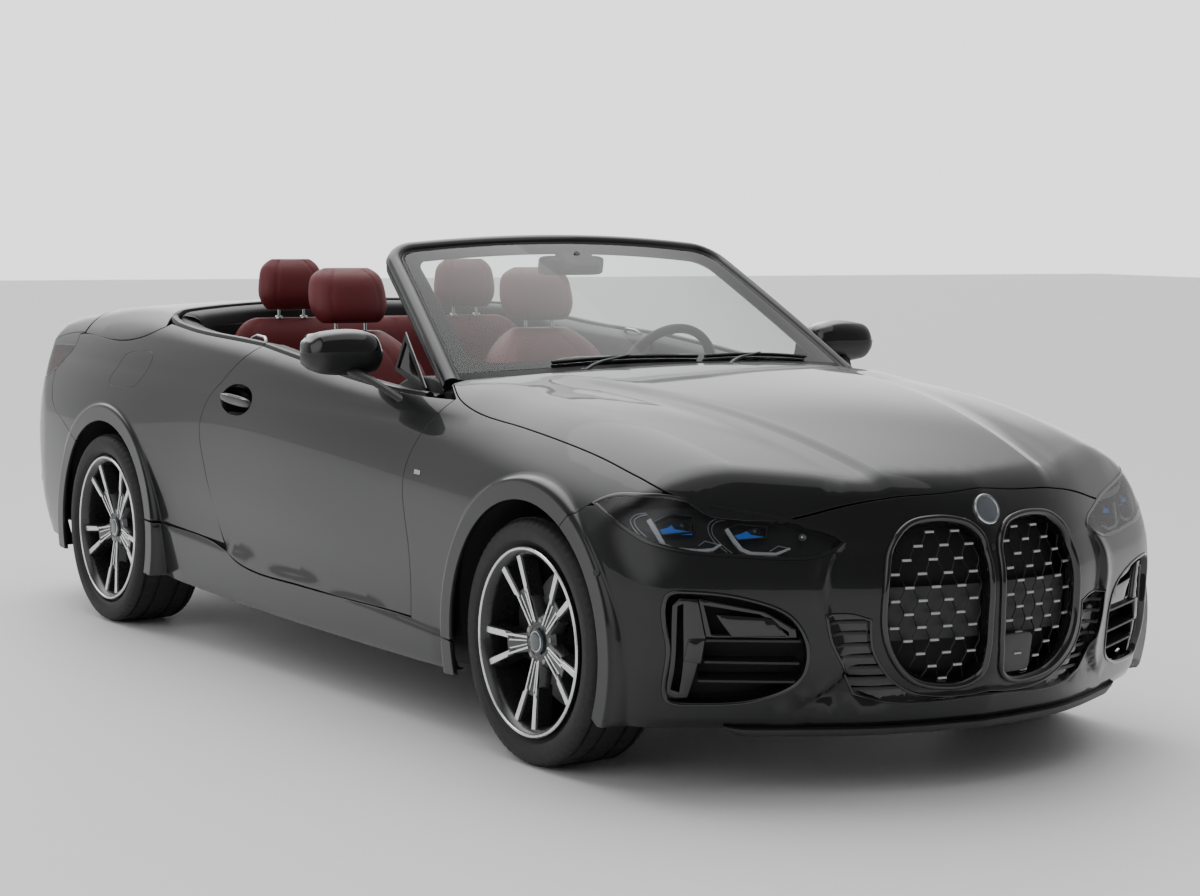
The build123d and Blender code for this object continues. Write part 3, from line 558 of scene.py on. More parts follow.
blue_shader.inputs["Emission Strength"].default_value = .16
LAMP_RED = material("red_lamp", (.30, .008, .010), rough=.15, coat=.6, scale=60)
MIRROR = material("mirror_glass", (.55, .57, .58), rough=.04, metal=1.0, scale=50, rough_vary=.02)


def glass(name, tint, index):
    m = bpy.data.materials.new(name)
    m.use_nodes = True
    nt = m.node_tree
    out = nt.nodes["Material Output"]
    nt.nodes.remove(nt.nodes["Principled BSDF"])
    clear = nt.nodes.new("ShaderNodeBsdfTransparent")
    clear.inputs["Color"].default_value = (*tint, 1)
    gloss = nt.nodes.new("ShaderNodeBsdfGlossy")
    gloss.inputs["Roughness"].default_value = .02
    noise = nt.nodes.new("ShaderNodeTexNoise")
    noise.inputs["Scale"].default_value = 2.5
    coords = nt.nodes.new("ShaderNodeTexCoord")
    nt.links.new(coords.outputs["Object"], noise.inputs["Vector"])
    tone = nt.nodes.new("ShaderNodeMapRange")
    tone.inputs["To Min"].default_value = .93
    tone.inputs["To Max"].default_value = 1.0
    nt.links.new(noise.outputs["Fac"], tone.inputs["Value"])
    nt.links.new(tone.outputs["Result"], gloss.inputs["Color"])
    fres = nt.nodes.new("ShaderNodeFresnel")
    fres.inputs["IOR"].default_value = index
    mix = nt.nodes.new("ShaderNodeMixShader")
    nt.links.new(fres.outputs["Fac"], mix.inputs[0])
    nt.links.new(clear.outputs[0], mix.inputs[1])
    nt.links.new(gloss.outputs[0], mix.inputs[2])
    nt.links.new(mix.outputs[0], out.inputs["Surface"])
    return m


SCREEN = glass("tinted_screen_glass", (.66, .72, .69), 1.33)
LENS = glass("clear_lamp_lens", (.86, .88, .90), 1.45)

# ------------------------------------------------------------------ panel outlines
C = 1                    # marks a corner
DOOR = [(.852, .306, C), (.876, .483), (.845, .693), (.895, .852), (.949, .931, C), (.800, .931),
        (.609, .937), (.361, .955), (-.022, .997), (-.270, 1.022, C), (-.392, .936), (-.520, .830),
        (-.557, .750), (-.519, .611), (-.417, .400), (-.372, .357), (-.300, .330), (-.184, .313),
        (.152, .309)]
HOOD_REAR = [(1.032, 0), (1.015, .300), (.960, .560), (.850, .735, C)]
HOOD_SIDE = [(.850, .735, C), (.964, .779), (1.076, .796), (1.333, .799), (1.538, .798), (1.741, .790),
             (1.895, .783), (1.984, .771), (2.062, .711), (2.117, .629), (2.165, .543, C)]
HOOD_FRONT = [(2.165, .543, C), (2.208, .440), (2.241, .348), (2.266, .245), (2.284, .120), (2.289, 0)]


def flip_y(p):
    return p * OTHER_SIDE


hood_side3 = TOP.curve(HOOD_SIDE)
hood_rear3 = TOP.curve(HOOD_REAR)
hood_front3 = TOP.curve(HOOD_FRONT)
hood_half = np.concatenate([hood_rear3[:-1], hood_side3[:-1], hood_front3[:-1]])
hood_loop = np.concatenate([hood_half, hood_front3[-1:], flip_y(hood_half[1:])[::-1]])

HEADLIGHT = [(1.812, .871, .728, C), (1.842, .853, .746), (1.878, .835, .757), (1.940, .805, .761),
             (1.996, .765, .760), (2.047, .709, .746), (2.098, .636, .731), (2.155, .546, .713),
             (2.201, .474, .689), (2.243, .412, .664), (2.254, .401, .649), (2.253, .434, .627),
             (2.235, .487, .609), (2.190, .567, .607), (2.138, .658, .613), (2.076, .751, .621),
             (2.006, .834, .645), (1.964, .857, .666), (1.913, .871, .689)]
headlight3 = NOSE.through(HEADLIGHT, True)
door_loop = SIDE.curve(DOOR, True)


def arc_points(cx, r, a0, a1, count):
    return [(cx + r * math.cos(math.radians(a0 + (a1 - a0) * k / count)),
             AXLE_Z + r * math.sin(math.radians(a0 + (a1 - a0) * k / count))) for k in range(count + 1)]


def spaced(pts):
    """The points without those that lie within 4 mm of the one kept before them."""
    keep = [0]
    for i in range(1, len(pts)):
        if np.linalg.norm(pts[i] - pts[keep[-1]]) > .004:
            keep.append(i)
    return pts[keep]


def polyline(*runs):
    """The runs joined to one loop without points that lie closer than 4 mm."""
    pts = spaced(np.concatenate([np.asarray(r, float) for r in runs]))
    return pts[:-1] if np.linalg.norm(pts[-1] - pts[0]) < .004 else pts


# fender: door edge up, cowl end, hood side forward, headlight top back, bumper seam, arch, sill seam
door_front = SIDE.curve([(.852, .306), (.876, .483), (.845, .693), (.895, .852), (.949, .931)])
lamp_meets = 1.990              # x where the hood's edge meets the headlight
hood_part = hood_side3[hood_side3[:, 0] < lamp_meets]
lamp_up = [p for p in headlight3[:40] if p[0] < lamp_meets]
seam_low = SIDE.curve([(1.800, .719), (1.766, .692), (1.728, .662)])
arch_front = SIDE.at(arc_points(FRONT_X, ARCH_R, 60, 187, 80))
sill_front = SIDE.curve([(1.162, .284), (1.0, .292), (.852, .300)])
fender_loop = polyline(door_front, hood_part, lamp_up[::-1], seam_low, arch_front, sill_front)

# bumper: hood edge, headlight's lower edge, fender seam, arch and bottom line, mirrored
lamp_low = headlight3[int(np.argmin(headlight3[:, 1])):]
lamp_in = headlight3[[p[1] < .55 and p[2] > .655 for p in headlight3]]
seam_up = SIDE.curve([(1.728, .662), (1.766, .692), (1.800, .719)])
arch_low = SIDE.at(arc_points(FRONT_X, ARCH_R, 60, -22, 46))
low_from = NOSE.flat(arch_low[-1:])[0]
low_line = NOSE.at([(low_from[0] * (1 - t), .172) for t in np.linspace(.02, 1, 70)])
nose_half = polyline(hood_front3[::-1], lamp_in, lamp_low, seam_up[::-1], arch_low, low_line)
nose_loop = np.concatenate([nose_half, flip_y(nose_half[1:-1])[::-1]])

KIDNEY = [(.012, .380, C), (.013, .600), (.022, .650), (.055, .688), (.105, .704), (.170, .708), (.235, .697),
          (.285, .660), (.317, .590), (.330, .489), (.322, .400), (.290, .335), (.235, .287), (.160, .266),
          (.070, .268), (.028, .295)]
INTAKE = [(.815, .517), (.800, .528), (.770, .530), (.640, .512), (.545, .470), (.506, .410), (.500, .330),
          (.520, .285), (.600, .245), (.720, .234), (.788, .240), (.802, .255), (.810, .380)]
LOWER = [(0, .238), (.300, .240), (.380, .262, C), (.455, .400), (.470, .470, C), (.400, .470),
         (.352, .455, C), (.345, .380), (.305, .315), (.240, .268), (.160, .252), (.06, .250), (0, .256)]
kidney3 = FRONT.curve(KIDNEY, True)
intake3 = FRONT.curve(INTAKE, True)
lower_half = FRONT.curve(LOWER)
lower_loop = polyline(lower_half, flip_y(lower_half)[::-1])

HANDLE = [(-.309 + .111 * math.cos(a), .849 + .049 * math.sin(a))
          for a in np.linspace(0, 2 * math.pi, 33)[:-1]]
FLAP = [(-1.243, .946), (-1.120, .962), (-1.030, .960), (-1.016, .945), (-1.045, .890), (-1.078, .855),
        (-1.110, .842), (-1.240, .836), (-1.300, .838), (-1.318, .852), (-1.290, .900), (-1.262, .935)]
handle3 = SIDE.curve(HANDLE, True)

quarter_loop = polyline(SIDE.curve([(-.270, 1.022), (-.392, .936), (-.520, .830), (-.557, .750),
                                    (-.519, .611), (-.430, .420), (-.405, .374)]),
                        SIDE.curve([(-.405, .374), (-.943, .402)]),
                        SIDE.at(arc_points(REAR_X, ARCH_R, 10.8, 130, 60)),
                        SIDE.curve([(-1.557, .620), (-1.700, .680), (-1.839, .740), (-1.885, .800),
                                    (-1.903, .860)]),
                        SIDE.curve([(-1.903, .860), (-1.786, .963), (-1.800, .990)]),
                        SIDE.curve([(-1.800, .990), (-1.750, .995), (-1.314, .990), (-1.150, 1.012),
                                    (-1.024, 1.051)]), SIDE.curve([(-1.024, 1.051), (-1.000, 1.062)]),
                        SIDE.curve([(-1.000, 1.062), (-.761, 1.043), (-.395, 1.028), (-.270, 1.022)]))
skirt_loop = polyline(SIDE.curve([(-.943, .398), (-.372, .353), (-.300, .326), (-.184, .309), (.152, .305),
                                  (.852, .302), (1.162, .282)]),
                      SIDE.at(arc_points(FRONT_X, ARCH_R, 187.5, 202, 10)),
                      SIDE.curve([(1.187, .190), (1.0, .182), (-.820, .205), (-.955, .215)]),
                      SIDE.at(arc_points(REAR_X, ARCH_R, -18, 10.2, 16)))
side_lid = SIDE.curve([(-1.024, 1.051), (-1.150, 1.012), (-1.314, .990), (-1.744, .995)])
lid_front = TOP.curve([(float(side_lid[0][0]), float(side_lid[0][1])), (-1.090, .745), (-1.135, .60),
                       (-1.165, .30), (-1.172, 0)])
lid_back = TOP.curve([(-1.744, float(side_lid[-1][1])), (-1.744, .40), (-1.744, 0)])
lid_half = polyline(lid_front[::-1], side_lid, lid_back)
lid_loop = np.concatenate([lid_half, flip_y(lid_half[1:-1])[::-1]])
boot_side = SIDE.curve([(-1.756, 1.000), (-1.900, .990), (-2.050, .965), (-2.150, .930)])
boot_front = TOP.curve([(-1.756, 0), (-1.756, .40), (-1.756, float(boot_side[0][1]))])
boot_down = TAIL.cast([(-2.2, .655, .925), (-2.2, .640, .860), (-2.2, .600, .780), (-2.2, .540, .740)])
boot_base = TAIL.cast([(-2.3, y, .736) for y in np.linspace(.53, 0, 30)])
boot_half = polyline(boot_front, boot_side, boot_down, boot_base)
boot_loop = np.concatenate([boot_half, flip_y(boot_half[1:-1])[::-1]])


def panel(name, node, part, rides="body"):
    obj = object_from(name, *part, material=PAINT, rides=rides)
    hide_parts(node)


def lip_lines(cx):
    return [SIDE.at(arc_points(cx, r, -25, 205, 150)) for r in (.398, .424, .431, .437, .443, .452)]


FRONT_LIPS, REAR_LIPS = lip_lines(FRONT_X), lip_lines(REAR_X)
SILL_LINES = [SIDE.at([(x, sill_line(x) + d) for x in np.arange(-.98, 1.2, .014)])
              for d in (-.030, -.020, -.010, 0, .012, .03, .055, .085)]
fender_part = sheet(SIDE, [fender_loop], lines=FRONT_LIPS)
for tag, part in (("L", fender_part), ("R", mirrored(fender_part))):
    panel("fender_panel_" + tag, "fender_" + tag, part)
door_part = sheet(SIDE, [door_loop, handle3], lines=SILL_LINES[5:])
for tag, part in (("L", door_part), ("R", mirrored(door_part))):
    panel("door_skin_" + tag, "door_" + tag, part, "door_" + tag)
quarter_part = sheet(SIDE, [quarter_loop], lines=REAR_LIPS)
flap3 = SIDE.curve(FLAP, True)
panel("quarter_panel_L", "quarter_L", quarter_part)
panel("quarter_panel_R", "quarter_R", mirrored(sheet(SIDE, [quarter_loop, flap3], lines=REAR_LIPS)))
panel("fuel_flap", "quarter_R", mirrored(sheet(SIDE, [flap3], gap=.0012)))
skirt_part = sheet(SIDE, [skirt_loop], lines=SILL_LINES[:4] + FRONT_LIPS + REAR_LIPS)
panel("sill_panels", "side_skirts", joined(skirt_part, mirrored(skirt_part)))
DOME = [TOP.curve([(1.03 + 1.24 * t, .515 + e - .245 * (.08 + 1.24 * t) / 1.3)
                   for t in np.linspace(0, 1, 60)])
        for e in (-.03, -.018, -.005, .008, .02, .05, .08)]
panel("hood_panel", "hood", sheet(TOP, [hood_loop], .035, lines=DOME + [flip_y(d) for d in DOME]), "hood")
panel("roof_lid_panel", "roof_lid", sheet(TOP, [lid_loop], .035), "roof_lid")
panel("trunk_lid_panel", "trunk_lid", sheet(TAIL, [boot_loop], .035), "trunk_lid")
BLADES = [NOSE.cast([(2.28, float(BLADE(z)) + e, z) for z in np.arange(.19, .67, .012)])
          for e in (-.022, -.012, -.002, .010, .022, .040)]
nose_part = sheet(NOSE, [nose_loop, kidney3, flip_y(kidney3), intake3, flip_y(intake3), lower_loop], .035,
                  lines=FRONT_LIPS + [flip_y(f) for f in FRONT_LIPS]
                  + BLADES + [flip_y(f) for f in BLADES])
panel("front_bumper_skin", "front_bumper", nose_part)


# ------------------------------------------------------------------ shared ways to build pieces
def grid_faces(rows, cols, wrap_rows=False, wrap_cols=False):
    """Quads between rows of points, joined back to the start where wrapped."""
    out = []
    for i in range(rows if wrap_rows else rows - 1):
        for j in range(cols if wrap_cols else cols - 1):
            a = i * cols + j
            b = i * cols + (j + 1) % cols
            c = ((i + 1) % rows) * cols + (j + 1) % cols
            d = ((i + 1) % rows) * cols + j
            out.append((a, b, c, d))
    return out


def outward(verts, faces):
    """Turn a closed mesh's faces outward by its signed volume."""
    v = np.asarray(verts, float)
    total = 0.0
    for f in faces:
        for i in range(1, len(f) - 1):
            total += np.dot(v[f[0]], np.cross(v[f[i]], v[f[i + 1]]))
    return [f[::-1] for f in faces] if total < 0 else faces


def smooth_by_angle(obj, degrees):
    mesh = obj.data
    mesh.update()
    bm = bmesh.new()
    bm.from_mesh(mesh)
    limit = math.radians(degrees)
    for e in bm.edges:
        if len(e.link_faces) == 2:
            e.smooth = e.calc_face_angle(0) < limit
        else:
            e.smooth = False
    bm.to_mesh(mesh)
    bm.free()


def make(name, parts, mat, node=None, degrees=35, flip=False, close=True, rides="body"):
    """Object from a list of (verts, faces); each part is its own shell, mirrored where flip is set."""
    verts, faces = [], []
    for v, f in parts:
        v = np.asarray(v, float)
        if close:
            f = outward(v, f)
        start = len(verts)
        verts += list(v)
        faces += [tuple(i + start for i in t) for t in f]
    verts = np.array(verts)
    if flip:
        verts = verts * OTHER_SIDE
        faces = [t[::-1] for t in faces]
    obj = object_from(name, verts, faces, material=mat, rides=rides)
    smooth_by_angle(obj, degrees)
    if node:
        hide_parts(node)
    return obj


def capped(rows, cols):
    """Quads round a bar of closed rows, with a face at each end."""
    ends = [tuple(range(cols))[::-1], tuple((rows - 1) * cols + k for k in range(cols))]
    return grid_faces(rows, cols, wrap_cols=True) + ends


def rounded_box(centre, size, edge=.004, axes=None):
    """Box with bevelled edges; axes are three unit rows."""
    hx, hy, hz = [q / 2 for q in size]
    e = min(edge, hx * .9, hy * .9, hz * .9)
    pts, faces = [], []
    for sx in (-1, 1):
        for sy in (-1, 1):
            for sz in (-1, 1):
                pts.append((sx * hx, sy * (hy - e), sz * (hz - e)))
                pts.append((sx * (hx - e), sy * hy, sz * (hz - e)))
                pts.append((sx * (hx - e), sy * (hy - e), sz * hz))

    def at(sx, sy, sz, k):
        return ((sx > 0) * 4 + (sy > 0) * 2 + (sz > 0)) * 3 + k

    for s0 in (-1, 1):
        faces.append([at(s0, -1, -1, 0), at(s0, 1, -1, 0), at(s0, 1, 1, 0), at(s0, -1, 1, 0)])
        faces.append([at(-1, s0, -1, 1), at(-1, s0, 1, 1), at(1, s0, 1, 1), at(1, s0, -1, 1)])
        faces.append([at(-1, -1, s0, 2), at(1, -1, s0, 2), at(1, 1, s0, 2), at(-1, 1, s0, 2)])
        for s1 in (-1, 1):
            faces.append([at(s0, s1, -1, 0), at(s0, s1, 1, 0), at(s0, s1, 1, 1), at(s0, s1, -1, 1)])
            faces.append([at(s0, -1, s1, 0), at(s0, 1, s1, 0), at(s0, 1, s1, 2), at(s0, -1, s1, 2)])
            faces.append([at(-1, s0, s1, 1), at(1, s0, s1, 1), at(1, s0, s1, 2), at(-1, s0, s1, 2)])
            for s2 in (-1, 1):
                faces.append([at(s0, s1, s2, 0), at(s0, s1, s2, 1), at(s0, s1, s2, 2)])
    v = np.array(pts)
    fixed = [tuple(facing(f, v, v[f].mean(0))) for f in faces]
    if axes is not None:
        v = v @ np.array(axes)
    return v + np.array(centre), fixed


def tube(points, radius, sides=8, squash=1.0):
    """Round bar along 3-D points; radius may be a list."""
    p = np.asarray(points, float)
    n = len(p)
    rad = np.full(n, radius) if np.isscalar(radius) else np.asarray(radius, float)
    t = np.gradient(p, axis=0)
    t /= np.linalg.norm(t, axis=1)[:, None]
    ref = np.array([0, 0, 1.0]) if abs(t[0][2]) < .9 else np.array([1.0, 0, 0])
    u = np.cross(t[0], ref)
    u /= np.linalg.norm(u)
    verts = []
    for i in range(n):
        u = u - t[i] * np.dot(u, t[i])
        u /= np.linalg.norm(u)
        w = np.cross(t[i], u)
        for k in range(sides):
            a = 2 * math.pi * k / sides
            verts.append(p[i] + rad[i] * (math.cos(a) * u + math.sin(a) * w * squash))
    return np.array(verts), capped(n, sides)


def bands(view, loop, profile):
    """Strip round a loop on the body: profile holds (inward, lift)."""
    flat = view.flat(loop)
    rows = []
    for inward, lift in profile:
        p = view.solid(inset(flat, inward))
        rows.append(p + normal_at(p) * lift)
    return np.concatenate(rows), grid_faces(len(profile), len(flat), wrap_cols=True)


def turned(profile, axle_x, y_mid, count, closed=True, z=AXLE_Z):
    """Ring turned about an axle along y; profile holds (radius, offset along the axle)."""
    verts = []
    for k in range(count):
        a = 2 * math.pi * k / count
        for r, off in profile:
            verts.append((axle_x + r * math.cos(a), y_mid + off, z + r * math.sin(a)))
    n = len(profile)
    faces = grid_faces(count, n, wrap_rows=True, wrap_cols=closed)
    return np.array(verts), faces


# ------------------------------------------------------------------ wheels
def dish(r):
    """How far the wheel's face stands out at a radius."""
    return .079 + .019 * np.clip((r - .055) / .175, 0, 1) ** 1.3


def plate(outline, lean_y, thick, axle_x, y_mid, turn, bevel=.0018, taper=.3):
    """Spoke piece from an outline in (along, across), its face on the dished plane plus lean_y."""
    q = np.array(outline, float)
    if area(q) < 0:
        q = q[::-1]
    inner = inset(q, bevel)
    wide = inset(q, -thick * taper)
    verts = []
    for ring, drop in ((inner, 0), (q, bevel), (wide, thick)):
        for along, across in ring:
            r = math.hypot(along, across)
            off = float(dish(r)) + lean_y - drop
            x = along * math.cos(turn) - across * math.sin(turn)
            z = along * math.sin(turn) + across * math.cos(turn)
            verts.append((axle_x + x, y_mid + off, AXLE_Z + z))
    n = len(q)
    faces = grid_faces(3, n, wrap_cols=True)
    faces.append(tuple(range(n)))
    faces.append(tuple(range(2 * n, 3 * n))[::-1])
    return np.array(verts), faces


def wheel_parts(axle_x, y_mid, width, first):
    """Shells of one wheel by material, its first pair of spokes at the angle first in degrees."""
    bright, dark, disc, cap = [], [], [], []
    half = .111             # half the rim's width
    dark.append(turned([(.226, -half), (.255, -half), (.255, -half + .008), (.2407, -half + .012),
                        (.2407, half - .012), (.253, half - .009), (.2535, half - .002), (.250, half - .0005),
                        (.242, half - .001), (.236, half - .006), (.229, half - .020), (.226, half - .030)],
                       axle_x, y_mid, 128))
    bright.append(turned([(.2440, half - .0012), (.2456, half + .0012), (.2505, half + .0012),
                          (.2530, half - .0022), (.2490, half - .0032)], axle_x, y_mid, 128))
    dark.append(turned([(0, -.058), (.072, -.058), (.078, .03), (.074, .062), (.064, .0725), (.044, .0745),
                        (.040, .0700), (0, .0700)], axle_x, y_mid, 64, closed=False))
    for k in range(5):
        turn = math.radians(first + 72 * k)
        dark.append(plate([(.030, -.026), (.100, -.027), (.150, -.028), (.150, .028), (.100, .027),
                           (.030, .026)], -.0065, .030, axle_x, y_mid, turn))
        for lean in (-1, 1):
            blade = [(.120, lean * .011), (.120, lean * .029), (.236, lean * .060), (.240, lean * .034)]
            dark.append(plate(blade, -.0035, .040, axle_x, y_mid, turn, taper=.18))
            bright.append(plate([(.134, lean * .0165), (.146, lean * .0345), (.2385, lean * .0565),
                                 (.2405, lean * .0385)], 0, .005, axle_x, y_mid, turn, bevel=.0008, taper=0))
            bright.append(plate([(.050, lean * .0105), (.050, lean * .0165), (.142, lean * .0295),
                                 (.142, lean * .0235)], -.001, .005, axle_x, y_mid, turn, bevel=.0006,
                                taper=0))
            bright.append(plate([(.056, lean * .0030), (.056, lean * .0065), (.132, lean * .0135),
                                 (.138, lean * .0095)], -.003, .004, axle_x, y_mid, turn, bevel=.0006,
                                taper=0))
        bolt = math.radians(first + 36 + 72 * k)
        cx, cz = .056 * math.cos(bolt), .056 * math.sin(bolt)
        disc.append(turned([(0, .074), (.007, .0735), (.0085, .066), (.0085, .060)], axle_x + cx, y_mid, 12,
                           closed=False, z=AXLE_Z + cz))
    disc.append(turned([(.0746, -.053), (.184, -.053), (.184, -.0405), (.179, -.0400), (.179, -.0360),
                        (.184, -.0355), (.184, -.023), (.095, -.023), (.092, -.012), (.0746, -.012)],
                       axle_x, y_mid, 96))
    cap.append(turned([(0, .0845), (.014, .0842), (.026, .0830), (.0335, .0795), (.0345, .0740),
                       (.0345, .0700)], axle_x, y_mid, 48, closed=False))
    bright.append(turned([(.0250, .0820), (.0256, .0838), (.0280, .0832), (.0284, .0815)], axle_x, y_mid, 48))
    return bright, dark, [tyre_mesh(axle_x, y_mid, width / 2)], disc, cap


def tyre_mesh(axle_x, y_mid, w):
    """Bead, bare sidewall with fine ribs, shoulder, four grooves and shoulder cuts; w is half the width."""
    profile = [(.2415, -.092), (.248, -.0945), (.2580, -.0965), (.264, -w * .90), (.270, -w * .945),
               (.2702, -w * .952), (.2745, -w * .965), (.2747, -w * .972), (.285, -w * .995), (.296, -w),
               (.3035, -w + .0006), (.306, -w + .0016), (.314, -w + .0035), (.322, -w + .009),
               (.3268, -w + .018), (.3288, -w + .027)]
    grooves = []
    for g in (-.74 * w, -.30 * w, .30 * w, .74 * w):
        grooves += [(.3303, g - .0058), (.3235, g - .0042), (.3235, g + .0042), (.3303, g + .0058)]
    crown = [(r - .0013 * (off / w) ** 2, off) for r, off in grooves]
    full = profile + crown[:8] + [(.3308, 0.0)] + crown[8:] + [(r, -off) for r, off in reversed(profile)]
    count = 216
    verts = []
    for k in range(count):
        a = 2 * math.pi * k / count
        for r, off in full:
            cut = 0.0
            if abs(off) > .80 * w and r > .318 and k % 3 == 0:
                cut = .0042
            elif abs(off) < .70 * w and r > .326 and k % 6 == (0 if off > 0 else 3):
                cut = .0025
            verts.append((axle_x + (r - cut) * math.cos(a), y_mid + off, AXLE_Z + (r - cut) * math.sin(a)))
    return np.array(verts), grid_faces(count, len(full), wrap_rows=True)


CAP = material("wheel_cap_enamel", (.020, .035, .042), rough=.25, coat=.8, scale=60)
for tag, axle_x, y_mid, width, first in (("F", FRONT_X, FRONT_Y, .225, 46.5),
                                         ("R", REAR_X, REAR_Y, .244, 54)):
    bright, dark, tread, disc, cap = wheel_parts(axle_x, y_mid, width, first)
    for hand, flip in HANDS:
        wheel, tail = "wheel_" + tag + hand, tag + hand
        make("wheel_black_" + tail, dark, ALLOY_DARK, "rim_" + tail, 30, flip, rides=wheel)
        make("wheel_bright_" + tail, bright, ALLOY, "rim_" + tail, 30, flip, rides=wheel)
        make("brake_disc_" + tail, disc, DISC, "rim_" + tail, 30, flip, rides=wheel)
        make("wheel_cap_" + tail, cap, CAP, "rim_" + tail, 30, flip, close=False, rides=wheel)
        make("tyre_tread_" + tail, tread, RUBBER, "tyre_" + tail, 28, flip, close=False, rides=wheel)

# ------------------------------------------------------------------ front: kidneys, intakes, lamps
def lathe(origin, axis, profile, count=32):
    """Turned piece standing on a point; profile holds (radius, height)."""
    w = np.asarray(axis, float)
    w /= np.linalg.norm(w)
    u = np.cross(w, [0, 0, 1.0] if abs(w[2]) < .9 else [1.0, 0, 0])
    u /= np.linalg.norm(u)
    v = np.cross(w, u)
    verts = []
    for k in range(count):
        a = 2 * math.pi * k / count
        for r, h in profile:
            verts.append(np.asarray(origin) + r * (math.cos(a) * u + math.sin(a) * v) + h * w)
    return np.array(verts), grid_faces(count, len(profile), wrap_rows=True)


def flipped(parts):
    return [(np.asarray(v) * OTHER_SIDE, [t[::-1] for t in f]) for v, f in parts]


def sided(parts):
    """Left parts together with their mirror images."""
    return parts + flipped(parts)


def normal_of(point):
    return normal_at(point[None])[0]


def nose_at(y, z, lift=0.0):
    """Points on the nose for front-view positions, lifted off along the surface."""
    p = FRONT.solid(np.stack([np.atleast_1d(y), np.atleast_1d(z)], 1).astype(float))
    return p + normal_at(p) * lift


KIDNEY_RIM = [(-.001, -.006), (-.001, .002), (.002, .008), (.007, .0105), (.012, .009), (.0165, .003),
              (.0185, -.006), (.0195, -.030)]
rim_part = bands(FRONT, kidney3, KIDNEY_RIM)
make("kidney_rims", sided([rim_part]), GLOSS, "grille", 50, close=False)
kidney_flat = FRONT.flat(kidney3)
mesh_zone = inset(kidney_flat, .0165)
dash_zone = inset(kidney_flat, .022)
dashes, wires = [], []
ACROSS, PITCH, HALF = .0372, .0680, .0130      # columns' distance, rows' distance, half a dash
MESH_Y, MESH_Z = np.linspace(-.03, .40, 44), np.linspace(.22, .74, 53)
MESH_X = FRONT.at([(y, z) for y in MESH_Y for z in MESH_Z])[:, 0].reshape(len(MESH_Y), len(MESH_Z))


def on_mesh(y, z, deep=.018):
    """Point behind the nose between the kidneys' rims, read between rows of a fine net."""
    u, v = (y - MESH_Y[0]) / (MESH_Y[1] - MESH_Y[0]), (z - MESH_Z[0]) / (MESH_Z[1] - MESH_Z[0])
    i, j = int(np.clip(u, 0, len(MESH_Y) - 2)), int(np.clip(v, 0, len(MESH_Z) - 2))
    u, v = u - i, v - j
    x = ((MESH_X[i, j] * (1 - u) + MESH_X[i + 1, j] * u) * (1 - v)
         + (MESH_X[i, j + 1] * (1 - u) + MESH_X[i + 1, j + 1] * u) * v)
    return np.array([x - deep, y, z])


for column in range(10):
    for row in range(8):
        y = .0240 + ACROSS * column
        z = .258 + PITCH * row + (PITCH / 2 if column % 2 else 0)
        if inside_loop(np.array([(y - HALF * .7, z), (y + HALF * .7, z)]), dash_zone).all():
            a, b = on_mesh(y - HALF, z), on_mesh(y + HALF, z)
            way = (b - a) / np.linalg.norm(b - a)
            ahead = np.cross(way, [0, 0, 1.0])
            dashes.append(rounded_box((a + b) / 2, (HALF * 2, .009, .0066), .0012, (way, ahead, (0, 0, 1.0))))
        for dz in (-1, 1):
            ends = [(y + HALF, z), (y + (ACROSS - HALF), z + dz * PITCH / 2)]
            bend = [(ends[0][0] + .0012, z + dz * .010), (ends[1][0] - .0012, ends[1][1] - dz * .010)]
            if inside_loop(np.array(ends), mesh_zone).all():
                path = [on_mesh(*q, deep=.019) for q in (ends[0], bend[0], bend[1], ends[1])]
                wires.append(tube(path, .0012, 5, squash=1.8))
make("kidney_mesh_dashes", sided(dashes), DASH_GREY, "grille", 30)
make("kidney_mesh_lines", sided(wires), SATIN, "grille", 60)


def front_sheet(loop_flat, lift, spacing=.03, view=FRONT, edge=False, depth=.01):
    """Sheet inside a flat outline, lifted off the nose."""
    return shell(view, [view.at(loop_flat)], spacing, 0.0, lift, depth, edge=edge)


inner = inset(kidney_flat, .0185)
clamped = np.stack([inner[:, 0], np.clip(inner[:, 1], .392, .532)], 1)
plate_part = front_sheet(spaced(clamped), -.036)
make("kidney_back_plates", sided([plate_part]), material("flat_dark_plate", (.030, .030, .031), rough=.55,
                                                         scale=500), None, 40, close=False)


def soft_box(u0, u1, v0, v1, low_r, high_r, n=8):
    """Flat rectangle with round corners, of one radius below and one above."""
    out = []
    for cu, cv, r, a0 in ((u1, v1, high_r, 0), (u0, v1, high_r, 90), (u0, v0, low_r, 180),
                          (u1, v0, low_r, 270)):
        sx, sy = (-1 if cu == u1 else 1), (-1 if cv == v1 else 1)
        for k in range(n + 1):
            a = math.radians(a0 + 90 * k / n)
            out.append((cu + sx * r + r * math.cos(a), cv + sy * r + r * math.sin(a)))
    return np.array(out)


sensor = front_sheet(soft_box(.034, .142, .292, .392, .014, .014, 6), -.006, .02, edge=True, depth=.014)
make("radar_cover", [sensor], material("sensor_cover_grey", (.060, .060, .062), rough=.5, scale=600), None,
     40, close=False)
make("radar_cover_dash", [rounded_box(on_mesh(.088, .342, .004), (.006, .024, .005), .001)], DASH_GREY, None)

# dark backing behind every opening of the nose
back_half = [(0, .222), (.55, .205), (.80, .215), (.845, .40), (.845, .545), (.66, .545), (.42, .60),
             (.345, .715), (.20, .735), (0, .735)]
back_loop = back_half + [(-y, z) for y, z in back_half[1:-1]][::-1]
make("nose_backing", [front_sheet(dense(back_loop, True, .02), -.068, .04, NOSE)], MATT, None,
     40, close=False)

